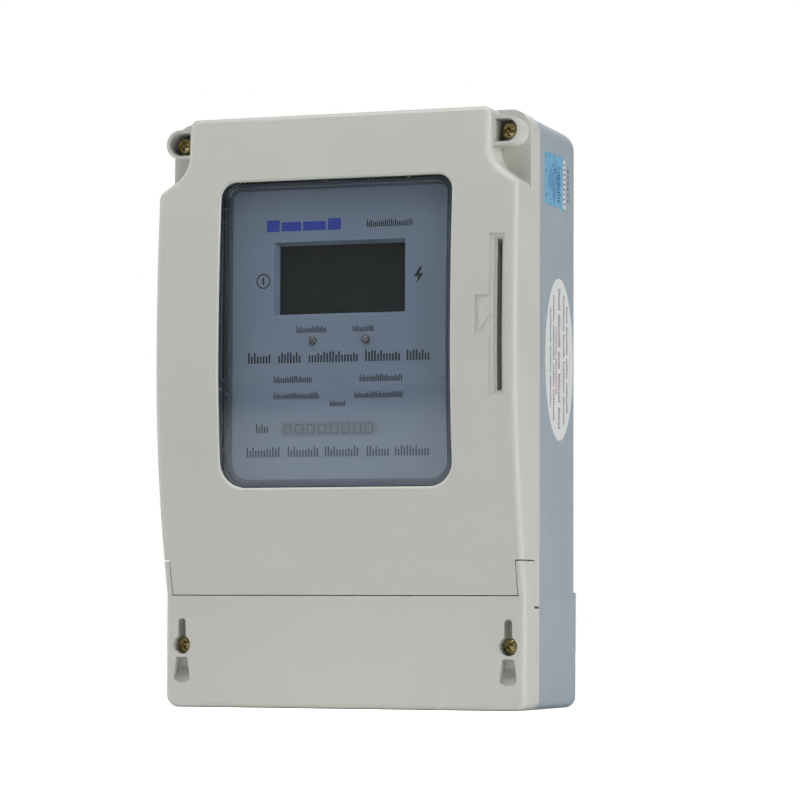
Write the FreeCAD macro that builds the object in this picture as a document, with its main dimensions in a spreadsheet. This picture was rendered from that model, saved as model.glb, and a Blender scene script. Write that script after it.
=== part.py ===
import FreeCAD, Part
import math
import os

import Sketcher

# A three-phase prepaid electricity meter with a card slot, as it comes apart on a bench.
# +Z is up, the front faces -Y and +X is to the right of a person who reads the display.
# Drawn with the foot of the case at Z 0, then seated so that the origin is the middle of
# the wall face.  "out" is the distance from the wall towards the reader, so Y = -out.

V = FreeCAD.Vector

SIZES = {
    # alias: (millimetres, what it is)
    "width": (145.0, "both covers, side to side"),
    "height": (224.5, "foot to top"),
    "depth": (76.0, "wall to the crown of the front cover"),
    "base_depth": (47.2, "wall to the parting line"),
    "base_width": (144.6, "base at the parting line"),
    "base_wall": (3.6, "base side wall at the parting line"),
    "base_draft": (0.8, "degrees of draft on the base sides"),
    "back_wall": (2.5, "thickness of the base's back"),
    "foot_height": (44.2, "undrafted lower block of the base"),
    "skin": (2.5, "wall thickness of both covers"),
    "seam": (42.8, "bottom of the front cover"),
    "seam_gap": (0.35, "gap between the covers"),
    "seam_out": (63.8, "front of the terminal cover"),
    "crown_height": (135.0, "height of the front cover's crown"),
    "top_out": (71.0, "front cover's front at its top edge"),
    "ledge_out": (58.2, "ledge in the two cut-away top corners"),
    "ledge_half": (60.8, "half width of the raised front between the top corners"),
    "slope_low": (195.8, "where the corner's slope meets the side"),
    "slope_high": (203.9, "where the corner's slope would meet the upright"),
    "edge_round": (2.2, "rounding of the front edges"),
    "top_corner": (8.0, "case corner radius at the top"),
    "foot_corner": (4.5, "case corner radius at the foot"),
    "window_half": (46.6, "half width of the window opening"),
    "window_low": (83.1, "bottom of the window opening"),
    "window_high": (199.4, "top of the window opening"),
    "window_round_low": (9.5, "window corner radius at the bottom"),
    "window_round_high": (6.0, "window corner radius at the top"),
    "lens_sink": (0.7, "lens front below the cover's surface"),
    "lens_wall": (2.0, "thickness of the lens"),
    "plate_out": (67.8, "front of the nameplate"),
    "plate_thick": (2.0, "thickness of the nameplate"),
    "display_half": (26.5, "half width of the display recess"),
    "display_low": (147.8, "bottom of the display recess"),
    "display_high": (176.3, "top of the display recess"),
    "lamp_across": (10.7, "lamp centres either side of the middle"),
    "lamp_height": (138.7, "height of the lamps"),
    "slot_across": (65.7, "centre of the card slot"),
    "slot_wide": (1.9, "width of the card slot"),
    "slot_low": (118.1, "bottom of the card slot"),
    "slot_high": (174.1, "top of the card slot"),
    "card_tall": (53.98, "width of a standard card, upright here"),
    "card_thick": (0.76, "thickness of a standard card"),
    "boss_across": (66.0, "top screws either side of the middle"),
    "boss_height": (215.6, "height of the top screws"),
    "boss_out": (68.3, "front of the screw bosses"),
    "boss_floor": (62.0, "seat of the top screws"),
    "boss_radius": (5.6, "outside radius of the bosses"),
    "driver_radius": (4.35, "radius of the driver pockets"),
    "key_across": (65.7, "lower screws either side of the middle"),
    "key_height": (23.8, "height of the lower screws"),
    "key_floor": (58.0, "seat of the lower screws"),
    "key_radius": (3.6, "radius of the lower screw pockets"),
    "ear_inner": (69.4, "inside face of the terminal cover's ears"),
    "ear_top": (55.6, "top of the terminal cover's ears"),
    "ear_back": (53.0, "how far back the ears reach"),
    "strap_low": (38.8, "foot of the front cover's side straps"),
    "screw_radius": (2.0, "shank radius of the sealing screws"),
    "board_thick": (1.6, "circuit boards"),
    "main_board_out": (53.6, "back of the main board"),
    "power_board_out": (12.0, "back of the power board"),
    "pitch": (13.6, "spacing of the main terminals"),
    "terminal_out": (27.0, "centre of the wire bores"),
    "terminal_low": (15.0, "mouth of the brass terminals"),
    "terminal_high": (42.2, "top of the brass terminals"),
    "wire_radius": (4.25, "radius of the wire bores"),
    "wire_depth": (23.0, "length of the wire bores"),
    "block_low": (13.0, "underside of the terminal block"),
    "block_half": (59.5, "half width of the terminal block"),
    "block_back": (8.0, "back of the terminal block"),
    "block_out": (52.0, "front of the terminal block"),
    "fixing_across": (62.0, "lower fixing holes either side of the middle"),
    "fixing_height": (8.0, "height of the lower fixing holes"),
    "fixing_radius": (2.3, "radius of the lower fixing holes"),
    "hook_half": (8.8, "half width of the hanger hook"),
    "hook_hole": (2.75, "radius of the hanging hole"),
}


class Size:
    """A length that carries both its number and its spreadsheet formula."""

    def __init__(self, number, formula):
        self.number = float(number)
        self.formula = formula

    def joined(self, other, sign, number, swapped=False):
        left, right = (formula_of(other), self.formula) if swapped else (self.formula, formula_of(other))
        return Size(number, f"({left} {sign} {right})")

    def __add__(self, other):
        return self.joined(other, "+", self.number + number_of(other))

    def __radd__(self, other):
        return self.joined(other, "+", number_of(other) + self.number, True)

    def __sub__(self, other):
        return self.joined(other, "-", self.number - number_of(other))

    def __rsub__(self, other):
        return self.joined(other, "-", number_of(other) - self.number, True)

    def __mul__(self, other):
        return self.joined(other, "*", self.number * number_of(other))

    def __rmul__(self, other):
        return self.joined(other, "*", number_of(other) * self.number, True)

    def __truediv__(self, other):
        return self.joined(other, "/", self.number / number_of(other))

    def __neg__(self):
        return Size(-self.number, f"(-1 * {self.formula})")

    def root(self):
        return Size(math.sqrt(self.number), f"sqrt({self.formula})")


def number_of(value):
    return value.number if isinstance(value, Size) else float(value)


def formula_of(value):
    return value.formula if isinstance(value, Size) else repr(float(value))


def fill_sheet():
    """The driving dimensions: one row each, with its alias and what it is."""
    sheet = doc.addObject("Spreadsheet::Sheet", "Dims")
    for row, (alias, (value, note)) in enumerate(SIZES.items(), start=1):
        sheet.set(f"A{row}", alias)
        sheet.set(f"B{row}", str(value))
        sheet.set(f"C{row}", note)
        sheet.setAlias(f"B{row}", alias)
    doc.recompute()


class Dimensions:
    """Reads d.width as the length called width."""

    def __getattr__(self, alias):
        return Size(SIZES[alias][0], f"Dims.{alias}")


doc = FreeCAD.newDocument("prepaid_meter")
d = Dimensions()
fill_sheet()
SEAT = -d.height / 2
NODES = []


# ---------------------------------------------------------------- Part primitives

def bind(thing, **values):
    """Binds properties; a double underscore stands for a dot in the property's path."""
    for path, value in values.items():
        thing.setExpression(path.replace("__", "."), formula_of(value))


def box(x, out, z, name="block"):
    """A block between pairs of limits across, out from the wall and up."""
    piece = doc.addObject("Part::Box", name)
    bind(piece, Length=x[1] - x[0], Width=out[1] - out[0], Height=z[1] - z[0])
    bind(piece, Placement__Base__x=x[0], Placement__Base__y=-1 * out[1], Placement__Base__z=z[0])
    return piece


TURNS = {
    "up": FreeCAD.Rotation(),
    "out": FreeCAD.Rotation(V(1, 0, 0), 90),
    "right": FreeCAD.Rotation(V(0, 1, 0), 90),
}


def place(piece, x, out, z, way):
    piece.Placement = FreeCAD.Placement(V(0, 0, 0), TURNS[way])
    bind(piece, Placement__Base__x=x, Placement__Base__y=-1 * out, Placement__Base__z=z)
    return piece


def rod(x, out, z, radius, length, way="out", name="rod"):
    """A cylinder that starts at a point and runs up, out or right."""
    piece = doc.addObject("Part::Cylinder", name)
    bind(piece, Radius=radius, Height=length)
    return place(piece, x, out, z, way)


def cone(x, out, z, low, high, length, way="out", name="cone"):
    piece = doc.addObject("Part::Cone", name)
    bind(piece, Radius1=low, Radius2=high, Height=length)
    return place(piece, x, out, z, way)


def fuse(*pieces, name="joined"):
    if len(pieces) == 1:
        return pieces[0]
    whole = doc.addObject("Part::MultiFuse", name)
    whole.Shapes = list(pieces)
    whole.Refine = True
    return whole


def cut(base, *tools, name="cut"):
    part = doc.addObject("Part::Cut", name)
    part.Base = base
    part.Tool = fuse(*tools)
    part.Refine = True
    return part


def common(first, second, name="common"):
    part = doc.addObject("Part::Common", name)
    part.Base = first
    part.Tool = second
    part.Refine = True
    return part


def mirrored(piece, name="mirrored"):
    """The same piece on the other side of the middle plane."""
    twin = doc.addObject("Part::Mirroring", name)
    twin.Source = piece
    twin.Normal = V(1, 0, 0)
    return twin


def both(piece):
    return (piece, mirrored(piece))


def seat(piece, label):
    """Gives a finished sub-part its label and lowers it so that the origin is at mid height."""
    piece.Label = label
    bind(piece, Placement__Base__z=SEAT)
    NODES.append(piece)


def node(label, *pieces):
    """A sub-part made of Part objects; like pieces may share one as separate solids."""
    holder = doc.addObject("Part::Compound", label)
    holder.Links = list(pieces)
    seat(holder, label)
    return holder


# ---------------------------------------------------------------- PartDesign bodies

def new_body(name):
    return doc.addObject("PartDesign::Body", name)


def sketch_on(body, role, offset=0.0):
    """A sketch on one of the body's own origin planes, moved along the plane's normal."""
    sketch = body.newObject("Sketcher::SketchObject", "sketch")
    plane = [item for item in body.Origin.OriginFeatures if item.Role == role][0]
    sketch.AttachmentSupport = (plane, [""])
    sketch.MapMode = "FlatFace"
    bind(sketch, AttachmentOffset__Base__z=offset)
    return sketch


def bent(start, end, radius, side):
    """An arc between two points that bulges left (1) or right (-1) of the way from one to the other."""
    chord = end - start
    left = V(-chord.y, chord.x, 0).normalize()
    centre = (start + end) / 2 - left * side * math.sqrt(radius ** 2 - (chord.Length / 2) ** 2)
    first, last = (end, start) if side > 0 else (start, end)
    angles = [math.atan2(point.y - centre.y, point.x - centre.x) for point in (first, last)]
    if angles[1] < angles[0]:
        angles[1] += 2 * math.pi
    return Part.ArcOfCircle(Part.Circle(centre, V(0, 0, 1), radius), *angles)


def contour(sketch, corners, arcs=()):
    """A closed outline; arcs maps an edge's number to its radius and the side it bulges to."""
    arcs = dict(arcs)
    points = [V(number_of(u), number_of(v), 0) for u, v in corners]
    ends = []
    for index, start in enumerate(points):
        end = points[(index + 1) % len(points)]
        if index in arcs:
            radius, side = arcs[index]
            edge = sketch.addGeometry(bent(start, end, number_of(radius), side))
            ends.append((edge, 2, 1) if side > 0 else (edge, 1, 2))
        else:
            edge = sketch.addGeometry(Part.LineSegment(start, end))
            ends.append((edge, 1, 2))
    for index, (edge, first, last) in enumerate(ends):
        following = ends[(index + 1) % len(ends)]
        sketch.addConstraint(Sketcher.Constraint("Coincident", edge, last, following[0], following[1]))
        for kind, value in (("DistanceX", corners[index][0]), ("DistanceY", corners[index][1])):
            rule = Sketcher.Constraint(kind, -1, 1, edge, first, number_of(value))
            drive(sketch, sketch.addConstraint(rule), value)
        if index in arcs:
            rule = Sketcher.Constraint("Radius", edge, number_of(arcs[index][0]))
            drive(sketch, sketch.addConstraint(rule), arcs[index][0])


def drive(sketch, rule, value):
    if isinstance(value, Size):
        sketch.setExpression(f"Constraints[{rule}]", value.formula)


def rectangle(sketch, x, z):
    contour(sketch, [(x[0], z[0]), (x[1], z[0]), (x[1], z[1]), (x[0], z[1])])


def pad(body, sketch, length, middle=False, inward=False):
    feature = body.newObject("PartDesign::Pad", "pad")
    feature.Profile = sketch
    feature.SideType = "Symmetric" if middle else "One side"
    feature.Reversed = inward
    bind(feature, Length=length)
    doc.recompute()
    return feature


def pocket(body, sketch, length, middle=False):
    before = body.Tip.Shape.Volume
    feature = body.newObject("PartDesign::Pocket", "pocket")
    feature.Profile = sketch
    feature.SideType = "Symmetric" if middle else "One side"
    bind(feature, Length=length)
    doc.recompute()
    if feature.Shape.Volume > before - 0.1:
        raise RuntimeError(f"a pocket in {body.Name} cuts nothing")
    return feature


def edges_where(body, test):
    doc.recompute()
    shape = body.Tip.Shape
    names = [f"Edge{i}" for i, edge in enumerate(shape.Edges, start=1) if test(edge.BoundBox)]
    if not names:
        raise RuntimeError(f"no edge to round in {body.Name}")
    return names


def rounded(body, radius, test):
    base = body.Tip
    names = edges_where(body, test)
    feature = body.newObject("PartDesign::Fillet", "rounding")
    feature.Base = (base, names)
    bind(feature, Radius=radius)
    doc.recompute()
    return feature


def bevelled(body, size, test):
    base = body.Tip
    names = edges_where(body, test)
    feature = body.newObject("PartDesign::Chamfer", "bevel")
    feature.Base = (base, names)
    bind(feature, Size=size)
    doc.recompute()
    return feature


def straight_out(b):
    """An edge that runs straight out from the wall."""
    return b.XLength < 1e-3 and b.ZLength < 1e-3


def near(value, target, reach=0.05):
    return abs(value - number_of(target)) < reach


# ---------------------------------------------------------------- covers

def arc_of(rise, sag):
    """Radius and centre's distance out of an arc that is upright at the crown."""
    radius = (rise * rise + sag * sag) / (2 * sag)
    return radius, d.depth - radius


LOWER_ARC = arc_of(d.crown_height - d.seam, d.depth - d.seam_out)
UPPER_ARC = arc_of(d.height - d.crown_height, d.depth - d.top_out)


def front_at(z, inset, arc):
    """How far out the bowed front is at a height, measured a wall thickness under the skin."""
    radius, centre = arc
    rise = z - d.crown_height
    inner = radius - inset
    return centre + (inner * inner - rise * rise).root()


def slope_way():
    """Unit direction, across and up, of the slope under each cut-away top corner."""
    run, fall = d.width / 2 - d.ledge_half, d.slope_low - d.slope_high
    length = (run * run + fall * fall).root()
    return run / length, fall / length


def slope_at(x, inset):
    """Height of that slope at a place across, a wall thickness under its surface."""
    run, fall = slope_way()
    return d.slope_high - inset * run + (x - d.ledge_half - inset * fall) * (fall / run)


def corner_outline(half, inner, top, inset):
    """What is cut from the right top corner: an upright, a hollow curve, a slope, rounded ends."""
    run, fall = slope_way()
    lean = (1 + fall) / run
    crest, hollow, foot = 3.0 - inset, 12.0 + inset, 4.0 - inset
    bend, end = slope_at(inner, inset), slope_at(half, inset)
    beyond = 10.0
    corners = [(inner - crest, top + beyond), (inner - crest, top), (inner, top - crest),
               (inner, bend + hollow * lean), (inner + hollow * lean * run, bend + hollow * lean * fall),
               (half - foot * lean * run, end - foot * lean * fall), (half, end - foot * lean),
               (half + beyond, end - foot * lean), (half + beyond, top + beyond)]
    return corners, {1: (crest, 1), 3: (hollow, -1), 5: (foot, 1)}


def cover_form(name, inset=0.0, back=d.base_depth, low=d.seam, corners=True):
    """The front cover's outer form, or the same form a given distance under its skin.

    A side profile with the bowed front, made as wide as the cover, with both top corners cut
    away down to a ledge.
    """
    body = new_body(name)
    low, top, half = low + inset, d.height - inset, d.width / 2 - inset
    sketch = sketch_on(body, "YZ_Plane")
    profile = [(-back, low), (-front_at(low, inset, LOWER_ARC), low), (inset - d.depth, d.crown_height),
               (-front_at(top, inset, UPPER_ARC), top), (-back, top)]
    contour(sketch, profile, {1: (LOWER_ARC[0] - inset, 1), 2: (UPPER_ARC[0] - inset, 1)})
    pad(body, sketch, half * 2, middle=True)
    if not corners:
        return body
    rounded(body, d.top_corner - inset, lambda b: straight_out(b) and near(abs(b.XMin), half) and near(b.ZMin, top))
    sketch = sketch_on(body, "XZ_Plane", d.depth + 5)
    outline, arcs = corner_outline(half, d.ledge_half - inset, top, inset)
    contour(sketch, outline, arcs)
    contour(sketch, [(-x, z) for x, z in outline], {edge: (radius, -side) for edge, (radius, side) in arcs.items()})
    pocket(body, sketch, d.depth + 5 - (d.ledge_out - inset))
    if number_of(inset) < 1.0:
        rounded(body, d.edge_round - inset, lambda b: on_front_rim(b, low))
    return body


def on_front_rim(b, low):
    """An edge of the bowed front that isn't the seam, the crown line or a straight-out corner."""
    if b.YMax > -number_of(d.ledge_out) - 1 or straight_out(b):
        return False
    level = b.ZLength < 1e-3
    return not (level and (near(b.ZMin, low) or near(b.ZMin, d.crown_height)))


def on_window_rim(b):
    """The front edges of the window opening."""
    reach = number_of(d.window_half) + 0.01
    inside = abs(b.XMin) < reach and abs(b.XMax) < reach
    return inside and b.YMax < -number_of(d.boss_out) and not straight_out(b)


def on_slot_rim(b):
    """The front edges of the card slot."""
    middle = number_of(d.slot_across)
    reach = number_of(d.slot_wide) / 2 + 0.01
    inside = b.XMin > middle - reach and b.XMax < middle + reach
    return inside and b.YMax < -number_of(d.boss_out) and not straight_out(b)


def window_corner(b, height):
    return straight_out(b) and near(abs(b.XMin), d.window_half) and near(b.ZMin, height)


def slot_surround():
    """A shallow pad round the card slot, a step at its mouth, and a tab with an arrow that points to it."""
    arrow = new_body("arrow")
    sketch = sketch_on(arrow, "XZ_Plane", d.boss_floor)
    tip = d.slot_across - 3.5
    middle = (d.slot_low + d.slot_high) / 2
    contour(sketch, [(tip - 4.2, middle - 5.6), (tip, middle), (tip - 4.2, middle + 5.6)])
    pad(arrow, sketch, 20.0)
    left = d.slot_across - 3.85
    strip = box((left, d.slot_across + 2.2), (d.boss_floor, d.depth + 4), (d.slot_low - 2.2, d.slot_high + 2.3))
    tab = box((left - 5.35, left + 0.01), (d.boss_floor, d.depth + 4), (middle - 7.5, middle + 7.5))
    floor = cover_form("pad_floor", 0.4, d.base_depth, corners=False)
    mouth = box((d.slot_across - 2.05, d.slot_across + 1.5), (d.boss_floor, d.depth + 4),
                (d.slot_low - 1.0, d.slot_high + 1.0))
    step = cut(mouth, cover_form("mouth_floor", 1.2, d.base_depth, corners=False))
    return fuse(cut(cut(fuse(strip, tab), arrow), floor), step)


def screw_boss():
    """D-shaped boss that stands on the corner ledge against the raised front."""
    low, high = d.boss_height - d.boss_radius, d.boss_height + d.boss_radius
    root = d.ledge_out - 1
    barrel = rod(d.boss_across, root, d.boss_height, d.boss_radius, d.boss_out - root)
    return fuse(barrel, box((d.ledge_half - 1, d.boss_across), (root, d.boss_out), (low, high)))


def driver_pocket():
    """The D-shaped well over a top screw, the moat round its seat, and the screw's clearance hole."""
    low, high = d.boss_height - d.driver_radius, d.boss_height + d.driver_radius
    moat = d.ledge_out - 0.9
    well = rod(d.boss_across, moat, d.boss_height, d.driver_radius, 20.0)
    flat = box((d.ledge_half + 0.9, d.boss_across), (moat, d.depth + 4), (low, high))
    seat = rod(d.boss_across, moat - 1, d.boss_height, 3.3, d.boss_floor - moat + 1)
    hole = rod(d.boss_across, d.base_depth, d.boss_height, d.screw_radius + 0.3, 20.0)
    return fuse(cut(fuse(well, flat), seat), hole)


def make_front_cover():
    body = cover_form("outer_form")
    sketch = sketch_on(body, "XZ_Plane", d.depth + 5)
    rectangle(sketch, (-d.window_half, d.window_half), (d.window_low, d.window_high))
    pocket(body, sketch, 20.0)
    rounded(body, d.window_round_high, lambda b: window_corner(b, d.window_high))
    rounded(body, d.window_round_low, lambda b: window_corner(b, d.window_low))
    rounded(body, 1.0, on_window_rim)
    sketch = sketch_on(body, "XZ_Plane", d.depth + 5)
    half_slot = d.slot_wide / 2
    rectangle(sketch, (d.slot_across - half_slot, d.slot_across + half_slot), (d.slot_low, d.slot_high))
    pocket(body, sketch, 20.0)
    bevelled(body, 0.5, on_slot_rim)
    shell = cut(body, cover_form("inner_form", d.skin, d.base_depth - 1))
    side = d.width / 2
    rib_high = d.ear_top + 2.5
    rib = fuse(box((d.ear_inner - 2.5, d.ear_inner), (d.ear_back - 1.5, d.seam_out - 1.2), (d.seam, rib_high)),
               box((d.ear_inner - 2.5, side - 1), (d.ear_back - 2.5, d.ear_back), (d.seam, rib_high)))
    strap = box((side - d.skin, side), (d.base_depth, d.ear_back), (d.strap_low, d.seam + 1))
    whole = fuse(shell, *both(screw_boss()), *both(rib), *both(strap))
    ear_notch = box((d.ear_inner, side + 5), (d.ear_back, d.depth + 4), (d.seam - 1, d.ear_top + 0.35))
    node("front_cover", cut(whole, *both(driver_pocket()), *both(ear_notch), slot_surround()))


def keyhole():
    """Well over a lower screw, with the groove above it for the seal wire, and the screw's hole."""
    groove_top = d.key_height + 8.4
    well = rod(d.key_across, d.key_floor, d.key_height, d.key_radius, 10.0)
    groove = box((d.key_across - 1.65, d.key_across + 1.65), (d.key_floor, d.depth), (d.key_height, groove_top))
    end = rod(d.key_across, d.key_floor, groove_top, 1.65, 10.0)
    hole = rod(d.key_across, d.base_depth, d.key_height, d.screw_radius + 0.3, 15.0)
    return fuse(well, groove, end, hole)


def finger_recess():
    """The flared recess under each keyhole, with a floor that runs up to the surface."""
    flare = new_body("flare")
    sketch = sketch_on(flare, "XZ_Plane", d.key_floor)
    top, low = d.key_height - 4.7, d.key_height - 13.2
    contour(sketch, [(d.key_across - 3.5, low), (d.key_across + 3.5, low),
                     (d.key_across + 2.35, top), (d.key_across - 2.35, top)], {0: (5.4, -1)})
    pad(flare, sketch, 12.0)
    ramp = new_body("ramp")
    sketch = sketch_on(ramp, "YZ_Plane")
    floor, front = 1.4 - d.seam_out + 3.0, -d.seam_out
    contour(sketch, [(floor, top + 1), (floor, low + 5.0), (front + 1.4, low - 1.6), (front - 6, low - 1.6),
                     (front - 6, top + 1)])
    pad(ramp, sketch, d.width, middle=True)
    return common(flare, ramp)


def make_terminal_cover():
    body = new_body("terminal_form")
    side, top = d.width / 2, d.seam - d.seam_gap
    sketch = sketch_on(body, "XZ_Plane", d.base_depth)
    rectangle(sketch, (-side, side), (0.0, top))
    pad(body, sketch, d.seam_out - d.base_depth)
    rounded(body, d.foot_corner, lambda b: straight_out(b) and near(b.ZMin, 0))
    rounded(body, d.edge_round, lambda b: near(b.YMin, -d.seam_out) and near(b.YMax, -d.seam_out)
            and not (b.ZLength < 1e-3 and near(b.ZMin, top)))
    ear = common(cover_form("ear_form", 0.0, d.ear_back + 0.2, d.seam - 2),
                 box((d.ear_inner + 0.3, side + 5), (d.ear_back + 0.2, d.depth), (d.seam - 2, d.ear_top - 0.15)))
    inner = side - d.skin
    hollow = box((-inner, inner), (d.base_depth - 1, d.seam_out - d.skin), (d.skin, d.seam + 5))
    shell = cut(body, hollow)
    pad_block = box((d.key_across - 5.4, side - 1), (d.key_floor - 2, d.seam_out - 1), (d.key_height - 17, d.key_height + 12))
    whole = fuse(shell, *both(ear), *both(pad_block))
    strap_notch = box((inner - 0.3, side + 5), (d.base_depth - 1, d.ear_back + 0.2), (d.strap_low - 0.9, d.seam + 5))
    node("terminal_cover", cut(whole, *both(keyhole()), *both(finger_recess()), *both(strap_notch)))


# ---------------------------------------------------------------- base

BASE_TOP = d.height - 0.5
BASE_INNER = d.base_width / 2 - d.base_wall
SHELF_TOP = d.seam + 2.5
MAIN_PILLARS = [(54.5, 65.0), (54.5, 206.0)]
POWER_PILLARS = [(42.0, 113.0), (42.0, 201.0)]
BLOCK_SCREWS = [(56.6, 20.5), (56.6, 36.0)]
TERMINAL_COUNT = 8


def terminal_across(number):
    """Centre of a main terminal, numbered from the left."""
    return d.pitch * (number - (TERMINAL_COUNT - 1) / 2)


def base_shell():
    """A tray with drafted sides above and an undrafted foot, open at the front."""
    upper = new_body("base_upper")
    half = d.base_width / 2
    sketch = sketch_on(upper, "XZ_Plane", d.base_depth)
    rectangle(sketch, (-half, half), (10.0, BASE_TOP))
    feature = pad(upper, sketch, d.base_depth, inward=True)
    bind(feature, TaperAngle=-1 * d.base_draft)
    rounded(upper, d.top_corner, lambda b: b.YLength > 40 and b.ZMin > 200)
    rounded(upper, 2.0, lambda b: near(b.YMax, 0.0) and near(b.YMin, 0.0) and b.ZMax > 20)
    foot = new_body("base_foot")
    sketch = sketch_on(foot, "XZ_Plane")
    rectangle(sketch, (-half, half), (0.0, d.foot_height))
    pad(foot, sketch, d.base_depth)
    rounded(foot, d.foot_corner, lambda b: straight_out(b) and near(b.ZMin, 0))
    rounded(foot, 0.8, lambda b: near(b.YMax, 0.0) and near(b.YMin, 0.0))
    return fuse(upper, foot)


def hook_track():
    """The T-shaped track for the hanger hook, open at the back face and at the top."""
    low = d.height - 38
    wide = box((-d.hook_half - 0.2, d.hook_half + 0.2), (1.2, 3.5), (low, d.height + 5))
    mouth = box((0.2 - d.hook_half + 1.4, d.hook_half - 1.6), (-1.0, 1.3), (low, d.height + 5))
    return fuse(wide, mouth)


def make_base():
    front = d.base_depth + 1
    upper = box((-BASE_INNER, BASE_INNER), (d.back_wall, front), (SHELF_TOP, BASE_TOP - d.base_wall))
    lower = box((-BASE_INNER, BASE_INNER), (d.back_wall, front), (3.0, d.seam))
    bottom = box((-d.block_half - 0.5, d.block_half + 0.5), (6.0, front), (-1.0, 4.0))
    shell = cut(base_shell(), fuse(upper, lower, bottom))
    pillar_out = d.ledge_out - d.skin - 0.1
    solids = [*both(rod(d.boss_across, 1.0, d.boss_height, 4.0, pillar_out - 1)),
              *both(rod(d.key_across, 1.0, d.key_height, 3.2, d.key_floor - 3.3)),
              box((-11.5, 11.5), (1.0, 6.0), (d.height - 41, BASE_TOP - 1))]
    for x, z in MAIN_PILLARS:
        solids += both(rod(x, 1.0, z, 3.0, d.main_board_out - 1))
    for x, z in POWER_PILLARS:
        solids += both(rod(x, 1.0, z, 3.0, d.power_board_out - 1))
    for x, z in BLOCK_SCREWS:
        solids += both(rod(x, 1.0, z, 2.8, d.block_back - 1))
    for phase in range(3):
        middle = terminal_across(2 * phase) + d.pitch / 2
        for z in (76.0, 92.0):
            solids.append(box((middle - 7, middle + 7), (1.0, 18.0), (z, z + 2)))
    whole = fuse(shell, *solids)
    tools = [hook_track(), *both(rod(d.fixing_across, -1.0, d.fixing_height, d.fixing_radius, 5.0))]
    tools += both(rod(d.boss_across, 34.0, d.boss_height, 3.0, 25.0))
    tools += both(rod(d.key_across, 34.0, d.key_height, 2.4, 25.0))
    for x, z in MAIN_PILLARS:
        tools += both(rod(x, d.main_board_out - 12, z, 1.2, 14.0))
    for x, z in POWER_PILLARS:
        tools += both(rod(x, 4.0, z, 1.2, 10.0))
    for x, z in BLOCK_SCREWS:
        tools += both(rod(x, 2.0, z, 1.2, 8.0))
    for number in range(TERMINAL_COUNT - 2):
        middle = terminal_across(number)
        out = 24.0 if number % 2 == 0 else 34.0
        tools.append(box((middle - 4.2, middle + 4.2), (out - 1.5, out + 1.5), (d.seam - 1, SHELF_TOP + 1)))
    link = (terminal_across(6) - 4.2, terminal_across(7) + 4.2)
    tools.append(box(link, (25.5, 28.5), (d.seam - 1, SHELF_TOP + 1)))
    tools.append(box((-12.0, 12.0), (43.6, 46.0), (d.seam - 1, SHELF_TOP + 1)))
    tools.append(seal_ring(1.4, d.base_depth + 1))
    node("base", cut(whole, *tools))


def seal_ring(width, front):
    """The ring that runs round the joint between base and front cover."""
    half, low, high = 71.1, d.seam + 0.5, BASE_TOP - 1.3
    back = d.base_depth - 1.2
    outer = slab("seal_outer", half, (low, high), (back, front), 3.0, 6.8)
    inner = slab("seal_inner", half - width, (low + width, high - width), (back - 1, front + 1),
                 3.0 - width, 6.8 - width)
    return cut(outer, inner)


def make_gasket():
    node("cover_gasket", seal_ring(1.3, d.base_depth - 0.05))


def make_hanger_hook():
    """A flat hook in the back of the base that slides up to show its hanging hole."""
    low, high = d.height - 37.7, d.height - 0.7
    tongue = box((-d.hook_half, d.hook_half), (1.35, 3.3), (low, high))
    key = box((0.3 - d.hook_half + 1.5, d.hook_half - 1.8), (0.2, 1.4), (low + 1, high))
    hole_height = high - 6.0
    hole = rod(0.0, -1.0, hole_height, d.hook_hole, 6.0)
    thumb = box((-4.0, 4.0), (0.0, 0.8), (low + 6, low + 8))
    node("hanger_hook", cut(fuse(tongue, key), fuse(hole, thumb)))


# ---------------------------------------------------------------- window, nameplate, display

def slab(name, half, z, out, round_low, round_high):
    """An upright plate with rounded corners, between two distances out."""
    body = new_body(name)
    sketch = sketch_on(body, "XZ_Plane", out[0])
    rectangle(sketch, (-half, half), z)
    pad(body, sketch, out[1] - out[0])
    if number_of(round_low):
        rounded(body, round_low, lambda b: straight_out(b) and near(b.ZMin, z[0]))
        rounded(body, round_high, lambda b: straight_out(b) and near(b.ZMin, z[1]))
    return body


def make_window_lens():
    """A clear tray: bowed front, side walls back to the nameplate, flange behind the cover."""
    gap, wall = 0.15, d.lens_wall
    half, low, high = d.window_half - gap, d.window_low + gap, d.window_high - gap
    back = d.plate_out + 0.3
    outer = slab("lens_outer", half, (low, high), (back, 80.0), d.window_round_low, d.window_round_high)
    inner = slab("lens_inner", half - wall, (low + wall, high - wall), (60.0, 80.0),
                 d.window_round_low - wall, d.window_round_high - wall)
    hollow = common(inner, cover_form("lens_under", d.lens_sink + wall, 50.0, corners=False))
    tray = cut(common(outer, cover_form("lens_front", d.lens_sink, 50.0, corners=False)), hollow)
    rim = slab("lens_flange", half + 2.6, (low - 2.6, high + 2.6), (60.0, 80.0), 10.0, 8.0)
    flange = cut(common(rim, cover_form("flange_front", d.skin + 0.1, 50.0, corners=False)),
                 cover_form("flange_back", d.skin + 1.5, 49.0, corners=False), inner)
    node("window_lens", fuse(tray, flange))


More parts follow.
